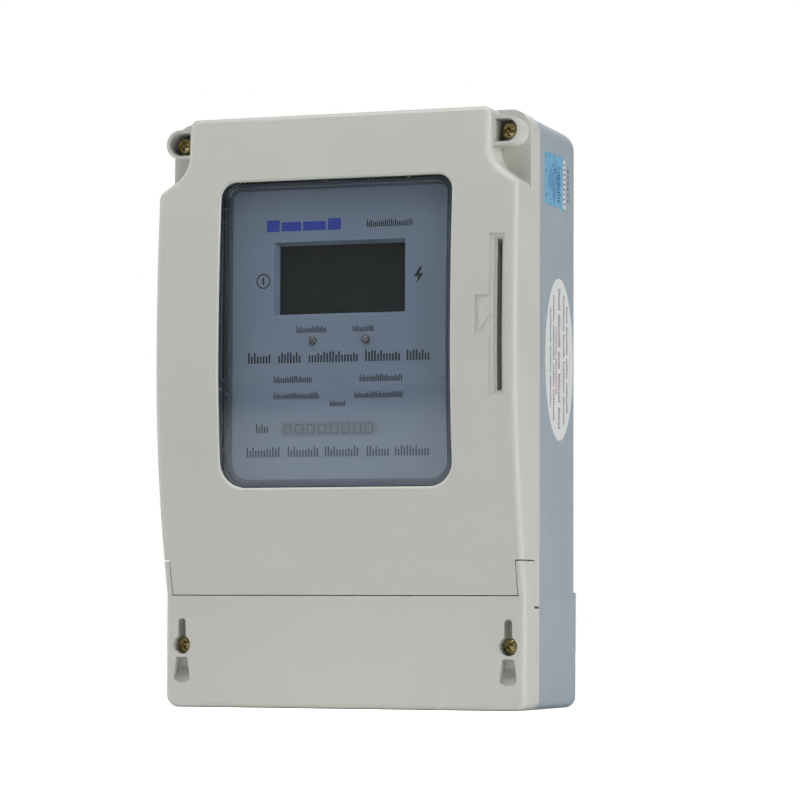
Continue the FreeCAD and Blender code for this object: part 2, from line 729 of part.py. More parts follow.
def make_nameplate():
    """The printed plate behind the lens, with the bevelled display recess and two lamp holes."""
    back = d.plate_out - d.plate_thick
    plate = slab("plate_form", 46.0, (83.8, 198.7), (back, d.plate_out), 8.5, 5.5)
    bevel = new_body("display_bevel")
    sketch = sketch_on(bevel, "XZ_Plane", d.plate_out)
    rectangle(sketch, (-d.display_half, d.display_half), (d.display_low, d.display_high))
    feature = pad(bevel, sketch, 3.2, inward=True)
    bind(feature, TaperAngle=-22.0)
    well = box((-d.display_half - 1.2, d.display_half + 1.2), (back - 1.1, back + 0.1),
               (d.display_low - 1.2, d.display_high + 1.2))
    lamps = both(rod(d.lamp_across, back - 1, d.lamp_height, 1.65, 5.0))
    lugs, pilots = [], []
    for z in (90.0, 190.0):
        post = rod(40.0, d.main_board_out + d.board_thick, z, 2.5, back - d.main_board_out - d.board_thick + 0.5)
        lugs += both(post)
        pilots += both(rod(40.0, d.main_board_out, z, 0.9, 8.0))
    node("nameplate", cut(fuse(plate, well, *lugs), bevel, *lamps, *pilots))


def make_display():
    board_front = d.main_board_out + d.board_thick
    glass_back = d.plate_out - 5.6
    glass = box((-28.0, 28.0), (glass_back, glass_back + 2.4), (146.0, 178.0))
    node("display_glass", glass)
    frame = cut(box((-29.0, 29.0), (board_front, glass_back), (147.0, 177.0)),
                box((-26.0, 26.0), (board_front + 2, glass_back + 1), (149.5, 174.5)))
    node("display_light_guide", frame)
    pins = []
    for number in range(18):
        x = (number - 8.5) * 2.54
        for z in (145.6, 178.0):
            pins.append(box((x - 0.25, x + 0.25), (board_front, glass_back + 2.0), (z, z + 0.4)))
    node("display_pins", *pins)


def make_lamps():
    """Two small lamps that stand on spacers and show through the nameplate."""
    board_front = d.main_board_out + d.board_thick
    collar_out = d.plate_out - d.plate_thick - 1.4
    for side, label in ((-1, "warning_lamp"), (1, "pulse_lamp")):
        x = d.lamp_across * side
        collar = rod(x, collar_out - 0.6, d.lamp_height, 1.9, 0.9)
        stem = rod(x, collar_out, d.lamp_height, 1.5, d.plate_out - collar_out)
        dome = doc.addObject("Part::Sphere", "dome")
        bind(dome, Radius=1.5)
        place(dome, x, d.plate_out, d.lamp_height, "up")
        node(label, fuse(collar, stem, dome))
    posts = [cut(rod(x, board_front, d.lamp_height, 2.2, collar_out - 0.6 - board_front),
                 rod(x, board_front - 1, d.lamp_height, 0.8, 20.0))
             for x in (-d.lamp_across, 1 * d.lamp_across)]
    node("lamp_spacers", *posts)


# ---------------------------------------------------------------- screws

def cross_recess(x, out, z, reach, depth):
    """Two crossed grooves sunk from the top of a screw head."""
    thick = reach * 0.3
    return fuse(box((x - reach, x + reach), (out - depth, out + 3), (z - thick / 2, z + thick / 2)),
                box((x - thick / 2, x + thick / 2), (out - depth, out + 3), (z - reach, z + reach)))


def screw(x, seat_out, z, head, head_tall, shank, length):
    """A pan head screw with a cross recess, its shank running towards the wall."""
    collar = rod(x, seat_out, z, head, head_tall * 0.45)
    crown = cone(x, seat_out + head_tall * 0.45, z, head, head * 0.62, head_tall * 0.55)
    stem = rod(x, seat_out - length, z, shank, length + 0.1)
    return cut(fuse(collar, crown, stem), cross_recess(x, seat_out + head_tall, z, head * 0.6, head_tall * 0.62))


def make_sealing_screws():
    for side, word in ((-1, "left"), (1, "right")):
        node(f"cover_screw_{word}",
             screw(d.boss_across * side, d.boss_floor + 0.05, d.boss_height, 3.1, 2.6, d.screw_radius, 24.0))
        node(f"terminal_cover_screw_{word}",
             screw(d.key_across * side, d.key_floor + 0.05, d.key_height, 3.0, 2.7, d.screw_radius, 22.0))
    inserts = []
    for x, z, outer, front in ((d.boss_across, d.boss_height, 3.0, d.ledge_out - d.skin - 0.1),
                               (d.key_across, d.key_height, 2.4, d.key_floor - 2.3)):
        sleeve = cut(rod(x, front - 10, z, outer, 10.0), rod(x, front - 11, z, d.screw_radius + 0.05, 12.0))
        inserts += both(sleeve)
    node("threaded_inserts", *inserts)


# ---------------------------------------------------------------- terminals

def make_terminal_block():
    low, high = d.block_low, d.seam - 0.3
    body = box((-d.block_half, d.block_half), (d.block_back, d.block_out), (low, high))
    tools = [box((-17.0, 17.0), (44.0, d.block_out + 1), (36.5, high + 1))]
    for number in range(TERMINAL_COUNT):
        x = terminal_across(number)
        tools.append(box((x - 5.5, x + 5.5), (21.0, 36.0), (d.terminal_low, high + 1)))
        tools.append(rod(x, d.terminal_out, low - 1, d.wire_radius + 0.35, 3.0, "up"))
        for z in (21.5, 31.5):
            tools.append(rod(x, 35.0, z, 3.7, 20.0))
    for x, z in BLOCK_SCREWS:
        tools += both(rod(x, 5.0, z, 1.6, 50.0))
        tools += both(rod(x, d.block_out - 8, z, 2.8, 10.0))
    node("terminal_block", cut(body, *tools))


def make_terminals():
    tubes, screws = [], []
    for number in range(TERMINAL_COUNT):
        x = terminal_across(number)
        tube = box((x - 5.5, x + 5.5), (21.0, 36.0), (d.terminal_low, d.terminal_high))
        bore = rod(x, d.terminal_out, d.terminal_low - 1, d.wire_radius, d.wire_depth + 1, "up")
        threads = [rod(x, d.terminal_out, z, 3.0, 12.0) for z in (21.5, 31.5)]
        tubes.append(cut(tube, bore, *threads))
        for z in (21.5, 31.5):
            grub = rod(x, d.terminal_out + d.wire_radius + 0.1, z, 3.0, 14.0)
            slot = box((x - 3.2, x + 3.2), (43.6, 46.5), (z - 0.5, z + 0.5))
            screws.append(cut(grub, slot))
    node("brass_terminals", *tubes)
    node("terminal_clamp_screws", *screws)
    node("terminal_block_screws",
         *[one for x, z in BLOCK_SCREWS
           for one in both(screw(x, d.block_out - 8, z, 2.7, 2.0, 1.2, 40.0))])


def make_pulse_terminals():
    """The small auxiliary strip above the main terminals."""
    body = box((-17.0, 17.0), (44.0, 58.0), (36.5, d.seam - 0.5))
    holes, screws = [], []
    for number in range(4):
        x = (number - 1.5) * 8
        holes.append(rod(x, 52.0, 39.6, 1.9, 10.0))
        holes.append(rod(x, 54.5, 35.0, 1.1, 4.0, "up"))
        screws.append(screw(x, 54.0, 39.6, 1.7, 1.6, 1.0, 1.9))
    node("pulse_terminal_strip", cut(body, *holes))
    node("pulse_terminal_screws", *screws)


def make_busbars():
    supply, load = [], []
    relay_low = 66.0
    for phase in range(3):
        into, away = terminal_across(2 * phase), terminal_across(2 * phase + 1)
        supply.append(box((into - 3.0, into + 3.0), (22.8, 25.2), (d.terminal_high, relay_low)))
        load.append(box((away - 4.0, away + 4.0), (33.0, 35.0), (d.terminal_high, relay_low)))
    node("supply_busbars", *supply)
    node("load_busbars", *load)
    left, right = terminal_across(6), terminal_across(7)
    arch = cut(box((left - 4.0, right + 4.0), (26.0, 28.0), (d.terminal_high, 54.0)),
               box((left + 4.0, right - 4.0), (25.0, 29.0), (d.terminal_high - 1, 50.0)))
    node("neutral_link", arch)


def make_phase_parts():
    """Each phase: a current transformer round its supply bar, and a latching relay above."""
    for phase in range(3):
        into = terminal_across(2 * phase)
        middle = into + d.pitch / 2
        ring = cut(rod(into, 24.0, SHELF_TOP, 10.0, 11.0, "up"), rod(into, 24.0, SHELF_TOP - 1, 4.2, 13.0, "up"))
        tail = box((into - 3.0, into + 3.0), (31.0, 35.5), (SHELF_TOP + 3, SHELF_TOP + 8))
        node(f"current_transformer_{phase + 1}", fuse(ring, tail))
        case = box((middle - 10.5, middle + 10.5), (18.0, 43.0), (66.0, 104.0))
        lid = box((middle - 10.0, middle + 10.0), (43.0, 44.0), (66.5, 103.5))
        node(f"phase_relay_{phase + 1}", fuse(case, lid))


# ---------------------------------------------------------------- boards and what stands on them

def make_boards():
    out = d.main_board_out
    board = box((-58.0, 58.0), (out, out + d.board_thick), (61.0, 210.0))
    holes = []
    for x, z in MAIN_PILLARS:
        holes += both(rod(x, out - 1, z, 1.4, 4.0))
    for z in (90.0, 190.0):
        holes += both(rod(40.0, out - 1, z, 1.1, 4.0))
    node("main_board", cut(board, *holes))
    out = d.power_board_out
    board = box((-47.0, 47.0), (out, out + d.board_thick), (108.0, 206.0))
    holes = []
    for x, z in POWER_PILLARS:
        holes += both(rod(x, out - 1, z, 1.4, 4.0))
    node("power_board", cut(board, *holes))
    node("card_board", box((61.0, 62.6), (18.0, 66.0), (110.0, 182.0)))
    screws = []
    for pillars, seat_out in ((MAIN_PILLARS, d.main_board_out), (POWER_PILLARS, d.power_board_out)):
        for x, z in pillars:
            screws += both(screw(x, seat_out + d.board_thick, z, 2.4, 1.8, 1.2, 7.0))
    node("board_screws", *screws)
    nuts = []
    for z in (90.0, 190.0):
        head = rod(40.0, d.main_board_out - 1.6, z, 2.1, 1.6)
        nuts += both(fuse(head, rod(40.0, d.main_board_out - 1.0, z, 0.9, 7.0)))
    node("nameplate_screws", *nuts)


def make_main_board_parts():
    front = d.main_board_out + d.board_thick
    back = d.main_board_out
    node("microcontroller", box((-27.0, -13.0), (front, front + 1.6), (104.0, 118.0)))
    node("metering_chip", box((8.0, 22.0), (front, front + 1.9), (106.0, 114.0)))
    node("crystal", box((-9.0, 1.5), (front, front + 3.5), (108.0, 112.5)))
    node("buzzer", cut(rod(-46.0, front, 73.5, 6.0, 7.5), rod(-46.0, front + 6.5, 73.5, 1.0, 2.0)))
    node("battery", rod(-44.0, back - 7.5, 122.0, 7.2, 25.0, "right"))
    node("battery_holder", cut(box((-46.0, -17.0), (back - 5.0, back), (114.0, 130.0)),
                               rod(-44.05, back - 7.5, 122.0, 7.25, 25.1, "right")))


def make_power_parts():
    front = d.power_board_out + d.board_thick
    core = cut(box((-38.0, -8.0), (front + 4, front + 20), (156.0, 194.0)),
               box((-32.0, -14.0), (front + 3, front + 21), (162.0, 188.0)))
    tongue = box((-38.0, -8.0), (front + 4, front + 20), (171.0, 179.0))
    node("transformer_core", fuse(core, tongue))
    coil = cut(box((-31.5, -14.5), (front, front + 24), (162.5, 187.5)),
               box((-40.0, -6.0), (front + 4, front + 20), (171.0, 179.0)))
    node("transformer_coil", coil)
    node("capacitors", *[rod(x, front, 184.0, 5.0, 20.0) for x in (6.0, 19.0, 32.0)])
    node("surge_absorbers", *[rod(x, front + 8, 122.0, 6.0, 4.0, "right") for x in (-34.0, -2.0, 30.0)])
    memory_out = d.main_board_out + d.board_thick
    node("small_chips", box((32.0, 37.0), (memory_out, memory_out + 1.6), (108.0, 113.0)),
         box((-6.0, 4.0), (front, front + 2.5), (146.0, 152.0)),
         box((12.0, 18.0), (front, front + 3.0), (146.0, 151.0)),
         box((24.0, 30.0), (front, front + 3.0), (146.0, 151.0)))
    plug = box((-12.0, 12.0), (front, front + 6.0), (196.5, 202.5))
    socket = box((-12.0, 12.0), (d.main_board_out - 6, 1 * d.main_board_out), (196.5, 202.5))
    node("link_connectors", plug, socket)
    node("link_ribbon", box((-11.0, 11.0), (front + 6, d.main_board_out - 6), (199.0, 200.0)))


# ---------------------------------------------------------------- card reader

LEVER_HEIGHT = 146.0
LEVER_ACROSS = 64.2
LEVER_OUT = 28.0


def make_card_socket():
    """The slot's guide: a deep narrow channel for the card, with contact and lever windows."""
    front, back = 71.6, 22.0
    middle = (d.slot_low + d.slot_high) / 2
    channel = (d.slot_across - d.card_thick / 2 - 0.22, d.slot_across + d.card_thick / 2 + 0.22)
    reach = d.card_tall / 2 + 0.3
    body = box((62.6, 68.3), (back, front), (middle - 32, middle + 32))
    slot = box(channel, (back + 3, front + 1), (middle - reach, middle + reach))
    contacts = box((62.0, channel[0] + 0.1), (34.0, 46.0), (middle - 14, middle + 14))
    window = box((61.5, 66.8), (23.5, 32.0), (LEVER_HEIGHT - 5, LEVER_HEIGHT + 5))
    pin = rod(LEVER_ACROSS, LEVER_OUT, LEVER_HEIGHT - 6, 0.6, 12.0, "up")
    node("card_socket", fuse(cut(body, slot, contacts, window), pin))
    springs = []
    for row in (0, 1):
        for column in range(4):
            z = middle + (column - 1.5) * 5.5
            out = 36.5 + row * 6
            leaf = box((62.6, 63.0), (out - 2, out + 2), (z - 0.8, z + 0.8))
            post = box((62.6, 64.6), (out + 1.6, out + 2), (z - 0.8, z + 0.8))
            tip = box((64.4, 64.8), (out - 1.4, out + 2), (z - 0.8, z + 0.8))
            springs.append(fuse(leaf, post, tip))
    node("card_contacts", *springs)


def make_card_lever():
    """A small sprung lever at the channel's end that a card pushes in."""
    hub = rod(LEVER_ACROSS, LEVER_OUT, LEVER_HEIGHT - 3.5, 1.15, 7.0, "up")
    arm = box((1.0 * LEVER_ACROSS, 66.35), (LEVER_OUT - 0.5, LEVER_OUT + 0.5), (LEVER_HEIGHT - 3, LEVER_HEIGHT + 3))
    hole = rod(LEVER_ACROSS, LEVER_OUT, LEVER_HEIGHT - 7, 0.65, 14.0, "up")
    node("card_lever", cut(fuse(hub, arm), hole))


# ---------------------------------------------------------------- leads and labels

def wire(points, radius, bends):
    """A round lead: straight runs joined by tangent arcs, swept as one closed solid."""
    edges = []
    start = V(*points[0])
    for index in range(1, len(points) - 1):
        corner, after = V(*points[index]), V(*points[index + 1])
        before = (start - corner).normalize()
        ahead = (after - corner).normalize()
        half_turn = (math.pi - before.getAngle(ahead)) / 2
        setback = bends * math.tan(half_turn)
        first, last = corner + before * setback, corner + ahead * setback
        inward = (before + ahead).normalize()
        middle = corner + inward * (bends / math.cos(half_turn) - bends)
        edges.append(Part.LineSegment(start, first).toShape())
        edges.append(Part.Arc(first, middle, last).toShape())
        start = last
    edges.append(Part.LineSegment(start, V(*points[-1])).toShape())
    path = Part.Wire(edges)
    heading = (V(*points[1]) - V(*points[0])).normalize()
    ring = Part.Wire([Part.Circle(V(*points[0]), heading, radius).toShape()])
    solid = path.makePipeShell([ring], True, False)
    wanted = math.pi * radius ** 2 * path.Length
    if abs(solid.Volume - wanted) > 0.02 * wanted:
        raise RuntimeError("a lead's volume doesn't match its length")
    return solid


def leads(label, routes, radius, bends):
    """A group of leads, each a Part.Feature swept along its own route."""
    pieces = []
    for route in routes:
        lead = doc.addObject("Part::Feature", "lead")
        lead.Shape = wire([(x, -out, z) for x, out, z in route], radius, bends)
        pieces.append(lead)
    node(label, *pieces)


def make_leads():
    board = SIZES["main_board_out"][0]
    pitch = SIZES["pitch"][0]
    across = [pitch * (number - 3.5) for number in range(TERMINAL_COUNT)]
    leads("transformer_leads",
          [[(x, 35.5, 50.0), (x, 48.0, 50.0), (x, 48.0, 71.0), (x, board, 71.0)] for x in across[0:6:2]],
          0.9, 2.6)
    leads("voltage_leads",
          [[(x, 35.0, 58.0), (x, 48.0, 58.0), (x, 48.0, 69.0), (x, board, 69.0)] for x in across[1:6:2]]
          + [[(across[7], 28.0, 52.0), (across[7], 48.0, 52.0), (across[7], 48.0, 69.0), (across[7], board, 69.0)]],
          0.8, 2.6)
    leads("relay_leads",
          [[(x + pitch / 2, 44.0, 90.0), (x + pitch / 2, 48.5, 90.0), (x + pitch / 2, 48.5, 99.0),
            (x + pitch / 2, board, 99.0)] for x in across[0:6:2]],
          0.8, 1.8)
    leads("pulse_leads",
          [[(x, 45.0, SIZES["seam"][0] - 0.5), (x, 45.0, 66.0), (x, board, 66.0)] for x in (-9.0, -3.0, 3.0, 9.0)],
          0.7, 4.0)


def make_labels():
    """Two thin stickers on the right side of the base, tilted with the drafted wall."""
    side = SIZES["base_width"][0] / 2
    parting = SIZES["base_depth"][0]
    thick = 0.15
    shapes = {
        "rating_label": sticker_oval(21.4, 133.0, 18.2, 31.0),
        "inspection_label": sticker_plate(28.5, 201.0, 11.5, 10.0),
    }
    for label, face in shapes.items():
        piece = doc.addObject("Part::Feature", "sticker")
        solid = face.extrude(V(thick, 0, 0))
        solid.translate(V(side, 0, 0))
        solid.rotate(V(side, -parting, 0), V(0, 0, 1), SIZES["base_draft"][0])
        piece.Shape = solid
        node(label, piece)


def sticker_oval(out, z, half_wide, half_tall):
    """A flat ellipse in the plane of the side wall."""
    outline = Part.Ellipse(V(0, -out, z + half_tall), V(0, -out - half_wide, z), V(0, -out, z))
    return Part.Face(Part.Wire([outline.toShape()]))


def sticker_plate(out, z, half_wide, half_tall):
    corners = [V(0, -out - half_wide, z - half_tall), V(0, -out + half_wide, z - half_tall),
               V(0, -out + half_wide, z + half_tall), V(0, -out - half_wide, z + half_tall)]
    return Part.Face(Part.makePolygon(corners + corners[:1]))


make_base()
make_front_cover()
make_window_lens()
make_terminal_cover()
make_gasket()
make_hanger_hook()
make_nameplate()
make_display()
make_lamps()
make_sealing_screws()
make_terminal_block()
make_terminals()
make_pulse_terminals()
make_busbars()
make_phase_parts()
make_boards()
make_main_board_parts()
make_power_parts()
make_card_socket()
make_card_lever()
make_leads()
make_labels()


def check_model():
    """Stops if any object failed or any sub-part isn't a sound solid."""
    doc.recompute()
    for item in doc.Objects:
        if "Invalid" in item.State or "Error" in item.State:
            raise RuntimeError(f"{item.Name} failed: {item.State}")
    for item in NODES:
        shape = item.Shape
        if shape.isNull() or not shape.isValid() or not shape.Solids:
            raise RuntimeError(f"{item.Label} isn't a sound solid")


def write_parts():
    os.makedirs("parts", exist_ok=True)
    for item in NODES:
        item.Shape.exportStep(f"parts/{item.Label}.step")
        print(f"{item.Label}: {len(item.Shape.Solids)} solid(s), {item.Shape.Volume / 1000:.2f} cm3")


check_model()
write_parts()
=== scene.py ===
import math

import bpy
import numpy as np
from mathutils import Matrix, Vector


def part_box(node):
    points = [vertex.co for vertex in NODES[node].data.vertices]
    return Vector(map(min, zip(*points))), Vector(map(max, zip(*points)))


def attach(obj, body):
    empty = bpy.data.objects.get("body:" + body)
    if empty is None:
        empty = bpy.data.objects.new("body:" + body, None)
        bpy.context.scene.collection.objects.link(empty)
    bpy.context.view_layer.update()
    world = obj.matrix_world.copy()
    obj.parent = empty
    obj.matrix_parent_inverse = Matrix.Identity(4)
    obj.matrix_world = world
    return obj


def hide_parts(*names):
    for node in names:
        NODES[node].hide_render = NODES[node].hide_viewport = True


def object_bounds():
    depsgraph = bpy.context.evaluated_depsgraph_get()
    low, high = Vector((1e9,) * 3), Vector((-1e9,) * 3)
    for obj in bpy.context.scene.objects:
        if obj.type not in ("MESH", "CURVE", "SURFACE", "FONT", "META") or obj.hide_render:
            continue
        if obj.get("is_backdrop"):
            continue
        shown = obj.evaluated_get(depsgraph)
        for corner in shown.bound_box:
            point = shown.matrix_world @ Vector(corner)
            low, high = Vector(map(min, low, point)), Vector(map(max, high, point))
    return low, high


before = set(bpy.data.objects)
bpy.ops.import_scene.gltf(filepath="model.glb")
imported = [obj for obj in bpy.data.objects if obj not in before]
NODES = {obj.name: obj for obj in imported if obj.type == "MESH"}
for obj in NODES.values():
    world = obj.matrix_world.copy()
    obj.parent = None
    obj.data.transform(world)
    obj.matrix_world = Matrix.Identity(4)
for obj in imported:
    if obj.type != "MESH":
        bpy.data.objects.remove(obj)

bl_info = {
    "name": "Prepaid Electricity Meter",
    "version": (1, 0, 0),
    "blender": (4, 5, 0),
    "location": "3D View > Sidebar > Meter",
    "description": "Finishes and small pieces of a three-phase prepaid electricity meter",
    "category": "Add Mesh",
}

MM = 0.001
RNG_SEED = 7


# ------------------------------------------------------------------ sizes and colours

class MeterColours(bpy.types.PropertyGroup):
    cover: bpy.props.FloatVectorProperty(
        name="Covers", description="Pale warm grey of both covers", subtype="COLOR", size=3,
        default=(0.585, 0.590, 0.548), min=0, max=1)
    base: bpy.props.FloatVectorProperty(
        name="Base", description="Cooler grey of the base", subtype="COLOR", size=3,
        default=(0.345, 0.400, 0.450), min=0, max=1)
    plate: bpy.props.FloatVectorProperty(
        name="Nameplate", description="Blue grey print ground", subtype="COLOR", size=3,
        default=(0.170, 0.215, 0.275), min=0, max=1)
    ink: bpy.props.FloatVectorProperty(
        name="Ink", description="Dark print", subtype="COLOR", size=3,
        default=(0.009, 0.010, 0.015), min=0, max=1)
    accent: bpy.props.FloatVectorProperty(
        name="Accent ink", description="Blue print", subtype="COLOR", size=3,
        default=(0.020, 0.045, 0.30), min=0, max=1)
    display: bpy.props.FloatVectorProperty(
        name="Display", description="Liquid crystal panel with no power", subtype="COLOR", size=3,
        default=(0.014, 0.017, 0.015), min=0, max=1)
    plating: bpy.props.FloatVectorProperty(
        name="Screw plating", description="Yellow zinc", subtype="COLOR", size=3,
        default=(0.68, 0.55, 0.27), min=0, max=1)


class PrintSizes(bpy.types.PropertyGroup):
    lift: bpy.props.FloatProperty(
        name="Print thickness", description="How far the print stands off its ground",
        subtype="DISTANCE", unit="LENGTH", default=0.05 * MM, min=0.01 * MM, max=0.3 * MM)
    tick_share: bpy.props.FloatProperty(
        name="Tick width", description="Width of a tick as a share of the row's height",
        default=0.165, min=0.05, max=0.4)
    pitch_share: bpy.props.FloatProperty(
        name="Tick pitch", description="Distance between ticks as a share of the row's height",
        default=0.30, min=0.2, max=1.0)


class ScrewSizes(bpy.types.PropertyGroup):
    thread_pitch: bpy.props.FloatProperty(
        name="Thread pitch", description="Rise of the thread in one turn",
        subtype="DISTANCE", unit="LENGTH", default=0.7 * MM, min=0.3 * MM, max=1.5 * MM)
    thread_depth: bpy.props.FloatProperty(
        name="Thread depth", description="Crest radius less root radius",
        subtype="DISTANCE", unit="LENGTH", default=0.36 * MM, min=0.1 * MM, max=0.6 * MM)
    recess_depth: bpy.props.FloatProperty(
        name="Recess depth", description="Depth of the cross recess",
        subtype="DISTANCE", unit="LENGTH", default=1.5 * MM, min=0.5 * MM, max=2.0 * MM)
    around: bpy.props.IntProperty(
        name="Steps round", description="Mesh steps round the screw", default=96, min=24, max=256)


class StageSizes(bpy.types.PropertyGroup):
    eye: bpy.props.FloatVectorProperty(
        name="Camera", description="Where the camera stands", subtype="TRANSLATION", unit="LENGTH",
        size=3, default=(0.4678, -1.2764, -0.0773))
    turn: bpy.props.FloatProperty(
        name="Turn", description="How far the camera looks round to the left",
        subtype="ANGLE", unit="ROTATION", default=math.radians(20.15))
    tilt: bpy.props.FloatProperty(
        name="Tilt", description="How far the camera looks up",
        subtype="ANGLE", unit="ROTATION", default=math.radians(3.585))
    roll: bpy.props.FloatProperty(
        name="Roll", description="How far the camera leans",
        subtype="ANGLE", unit="ROTATION", default=0.004)
    lens: bpy.props.FloatProperty(
        name="Focal length", description="In millimetres on a 36 mm sensor", default=155.2, min=20, max=300)
    floor_colour: bpy.props.FloatVectorProperty(
        name="Floor", description="Plain pale floor", subtype="COLOR", size=3,
        default=(0.96, 0.96, 0.96), min=0, max=1)


# ------------------------------------------------------------------ surfaces as whole arrays

def sheet_faces(rows, columns, ring):
    """Quads between neighbouring points of a rows by columns grid. A ring also joins its last column
    to its first."""
    last = columns if ring else columns - 1
    r, c = np.meshgrid(np.arange(rows - 1), np.arange(last), indexing="ij")
    r, c = r.ravel(), c.ravel()
    after = (c + 1) % columns
    near, far = r * columns, (r + 1) * columns
    return np.stack([near + c, near + after, far + after, far + c], axis=1)


def turned(rings):
    """A closed surface from rings of points (n, around, 3): quads between the rings, and one fan at
    each end's middle."""
    n, around = rings.shape[:2]
    points = np.concatenate([rings.reshape(-1, 3), rings[:1].mean(axis=1), rings[-1:].mean(axis=1)])
    quads = sheet_faces(n, around, True)
    step = np.arange(around)
    after = (step + 1) % around
    first = np.stack([np.full(around, n * around), after, step], axis=1)
    end = (n - 1) * around
    last = np.stack([np.full(around, n * around + 1), end + step, end + after], axis=1)
    return points, quads.tolist() + first.tolist() + last.tolist()


BLOCK_CORNERS = np.array([(x, y, z) for x in (-1, 1) for y in (-1, 1) for z in (-1, 1)], float)
BLOCK_FACES = np.array([(0, 1, 3, 2), (4, 6, 7, 5), (0, 4, 5, 1), (2, 3, 7, 6), (0, 2, 6, 4), (1, 5, 7, 3)])


def blocks(centres, halves, axes=np.eye(3)):
    """Many boxes at once: corner = centre + axes times (half sizes times each of the eight signs)."""
    centres, halves = np.asarray(centres, float), np.asarray(halves, float)
    local = BLOCK_CORNERS[None] * halves[:, None]
    points = centres[:, None] + local @ np.asarray(axes, float)
    faces = BLOCK_FACES[None] + 8 * np.arange(len(centres))[:, None, None]
    return points.reshape(-1, 3), faces.reshape(-1, 4).tolist()


def joined(parts):
    """Several (points, faces) surfaces as one."""
    points, faces, count = [], [], 0
    for own_points, own_faces in parts:
        points.append(own_points)
        faces += [[index + count for index in face] for face in own_faces]
        count += len(own_points)
    return np.concatenate(points), faces


def put(name, surface, material, body, smooth=False, bevel=0.0, replaces=()):
    """Makes a mesh object at the origin, with its place in its points, and lets it ride on a body."""
    points, faces = surface
    mesh = bpy.data.meshes.new(name)
    mesh.from_pydata(np.asarray(points, float).tolist(), [], faces)
    mesh.update()
    if smooth:
        mesh.polygons.foreach_set("use_smooth", np.ones(len(mesh.polygons), bool))
    mesh.materials.append(material)
    piece = bpy.data.objects.new(name, mesh)
    bpy.context.scene.collection.objects.link(piece)
    if bevel:
        edge = piece.modifiers.new("edges", "BEVEL")
        edge.width, edge.segments, edge.limit_method = bevel, 2, "ANGLE"
    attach(piece, body)
    if replaces:
        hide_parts(*replaces)
    return piece


def mid(node):
    """The middle of a CAD node, as numpy."""
    low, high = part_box(node)
    return (np.array(low) + np.array(high)) / 2


# ------------------------------------------------------------------ shader helpers

def add(tree, kind, sockets=None, **settings):
    """Adds a shader node; a socket value that is itself a socket is linked, anything else is set."""
    made = tree.nodes.new(kind)
    for key, value in settings.items():
        setattr(made, key, value)
    for key, value in (sockets or {}).items():
        if isinstance(value, bpy.types.NodeSocket):
            tree.links.new(value, made.inputs[key])
        else:
            made.inputs[key].default_value = value
    return made


def ranged(tree, value, low, high, to_low=0.0, to_high=1.0, smooth=True):
    """A value carried from one range to another, held at its ends."""
    return add(tree, "ShaderNodeMapRange", {"Value": value, "From Min": low, "From Max": high,
                                            "To Min": to_low, "To Max": to_high},
               interpolation_type="SMOOTHSTEP" if smooth else "LINEAR").outputs[0]


def mixed(tree, factor, first, second, mode="MIX"):
    """Two colours mixed by a factor."""
    made = add(tree, "ShaderNodeMix", {0: factor, 6: first, 7: second}, data_type="RGBA", blend_type=mode)
    return made.outputs[2]


def maths(tree, operation, first, second=0.0):
    """One step of arithmetic."""
    return add(tree, "ShaderNodeMath", {0: first, 1: second}, operation=operation).outputs[0]


def sine_of(tree, value, rate):
    """The sine of a value times a rate."""
    return maths(tree, "SINE", maths(tree, "MULTIPLY", value, rate))


def share_off(tree, value, middle, half):
    """How far a value lies from a middle, as a share of a half size."""
    return maths(tree, "DIVIDE", maths(tree, "ABSOLUTE", maths(tree, "SUBTRACT", value, middle)), half)


def cell_distance(tree, where, scale):
    """The distance to the nearest of many scattered points."""
    made = add(tree, "ShaderNodeTexVoronoi", {"Vector": where, "Scale": scale}, feature="F1")
    return made.outputs["Distance"]


def noise(tree, where, scale, detail=2.0, roughness=0.5):
    """Soft noise, from 0 to 1."""
    return add(tree, "ShaderNodeTexNoise", {"Vector": where, "Scale": scale, "Detail": detail,
                                            "Roughness": roughness}).outputs["Fac"]


def object_place(tree, stretch=(1, 1, 1), turn=(0, 0, 0)):
    """Object coordinates, stretched and turned."""
    where = add(tree, "ShaderNodeTexCoord").outputs["Object"]
    return add(tree, "ShaderNodeMapping", {"Vector": where, "Scale": stretch, "Rotation": turn}).outputs[0]


GROUPS = {}
EFFECT_OUTPUTS = (("Color", "NodeSocketColor"), ("Roughness", "NodeSocketFloat"),
                  ("Normal", "NodeSocketVector"))


def effect(name, inputs, build):
    """A shader node group with named inputs, and Color, Roughness and Normal outputs."""
    group = bpy.data.node_groups.new(name, "ShaderNodeTree")
    for label, kind, default in inputs:
        group.interface.new_socket(name=label, in_out="INPUT", socket_type=kind).default_value = default
    for label, kind in EFFECT_OUTPUTS:
        group.interface.new_socket(name=label, in_out="OUTPUT", socket_type=kind)
    entry, leave = group.nodes.new("NodeGroupInput"), group.nodes.new("NodeGroupOutput")
    colour, rough, normal = build(group, entry.outputs)
    for label, socket in (("Color", colour), ("Roughness", rough), ("Normal", normal)):
        group.links.new(socket, leave.inputs[label])
    GROUPS[name] = group


COLOUR, VALUE = "NodeSocketColor", "NodeSocketFloat"

# radians of wave in a metre, and half sizes of the sticker's lozenge
TRACK_RATE, WEAVE_RATE = 6200.0, 9000.0
LOZENGE_HALF_WIDE, LOZENGE_HALF_TALL = 8.5 * MM, 8.2 * MM


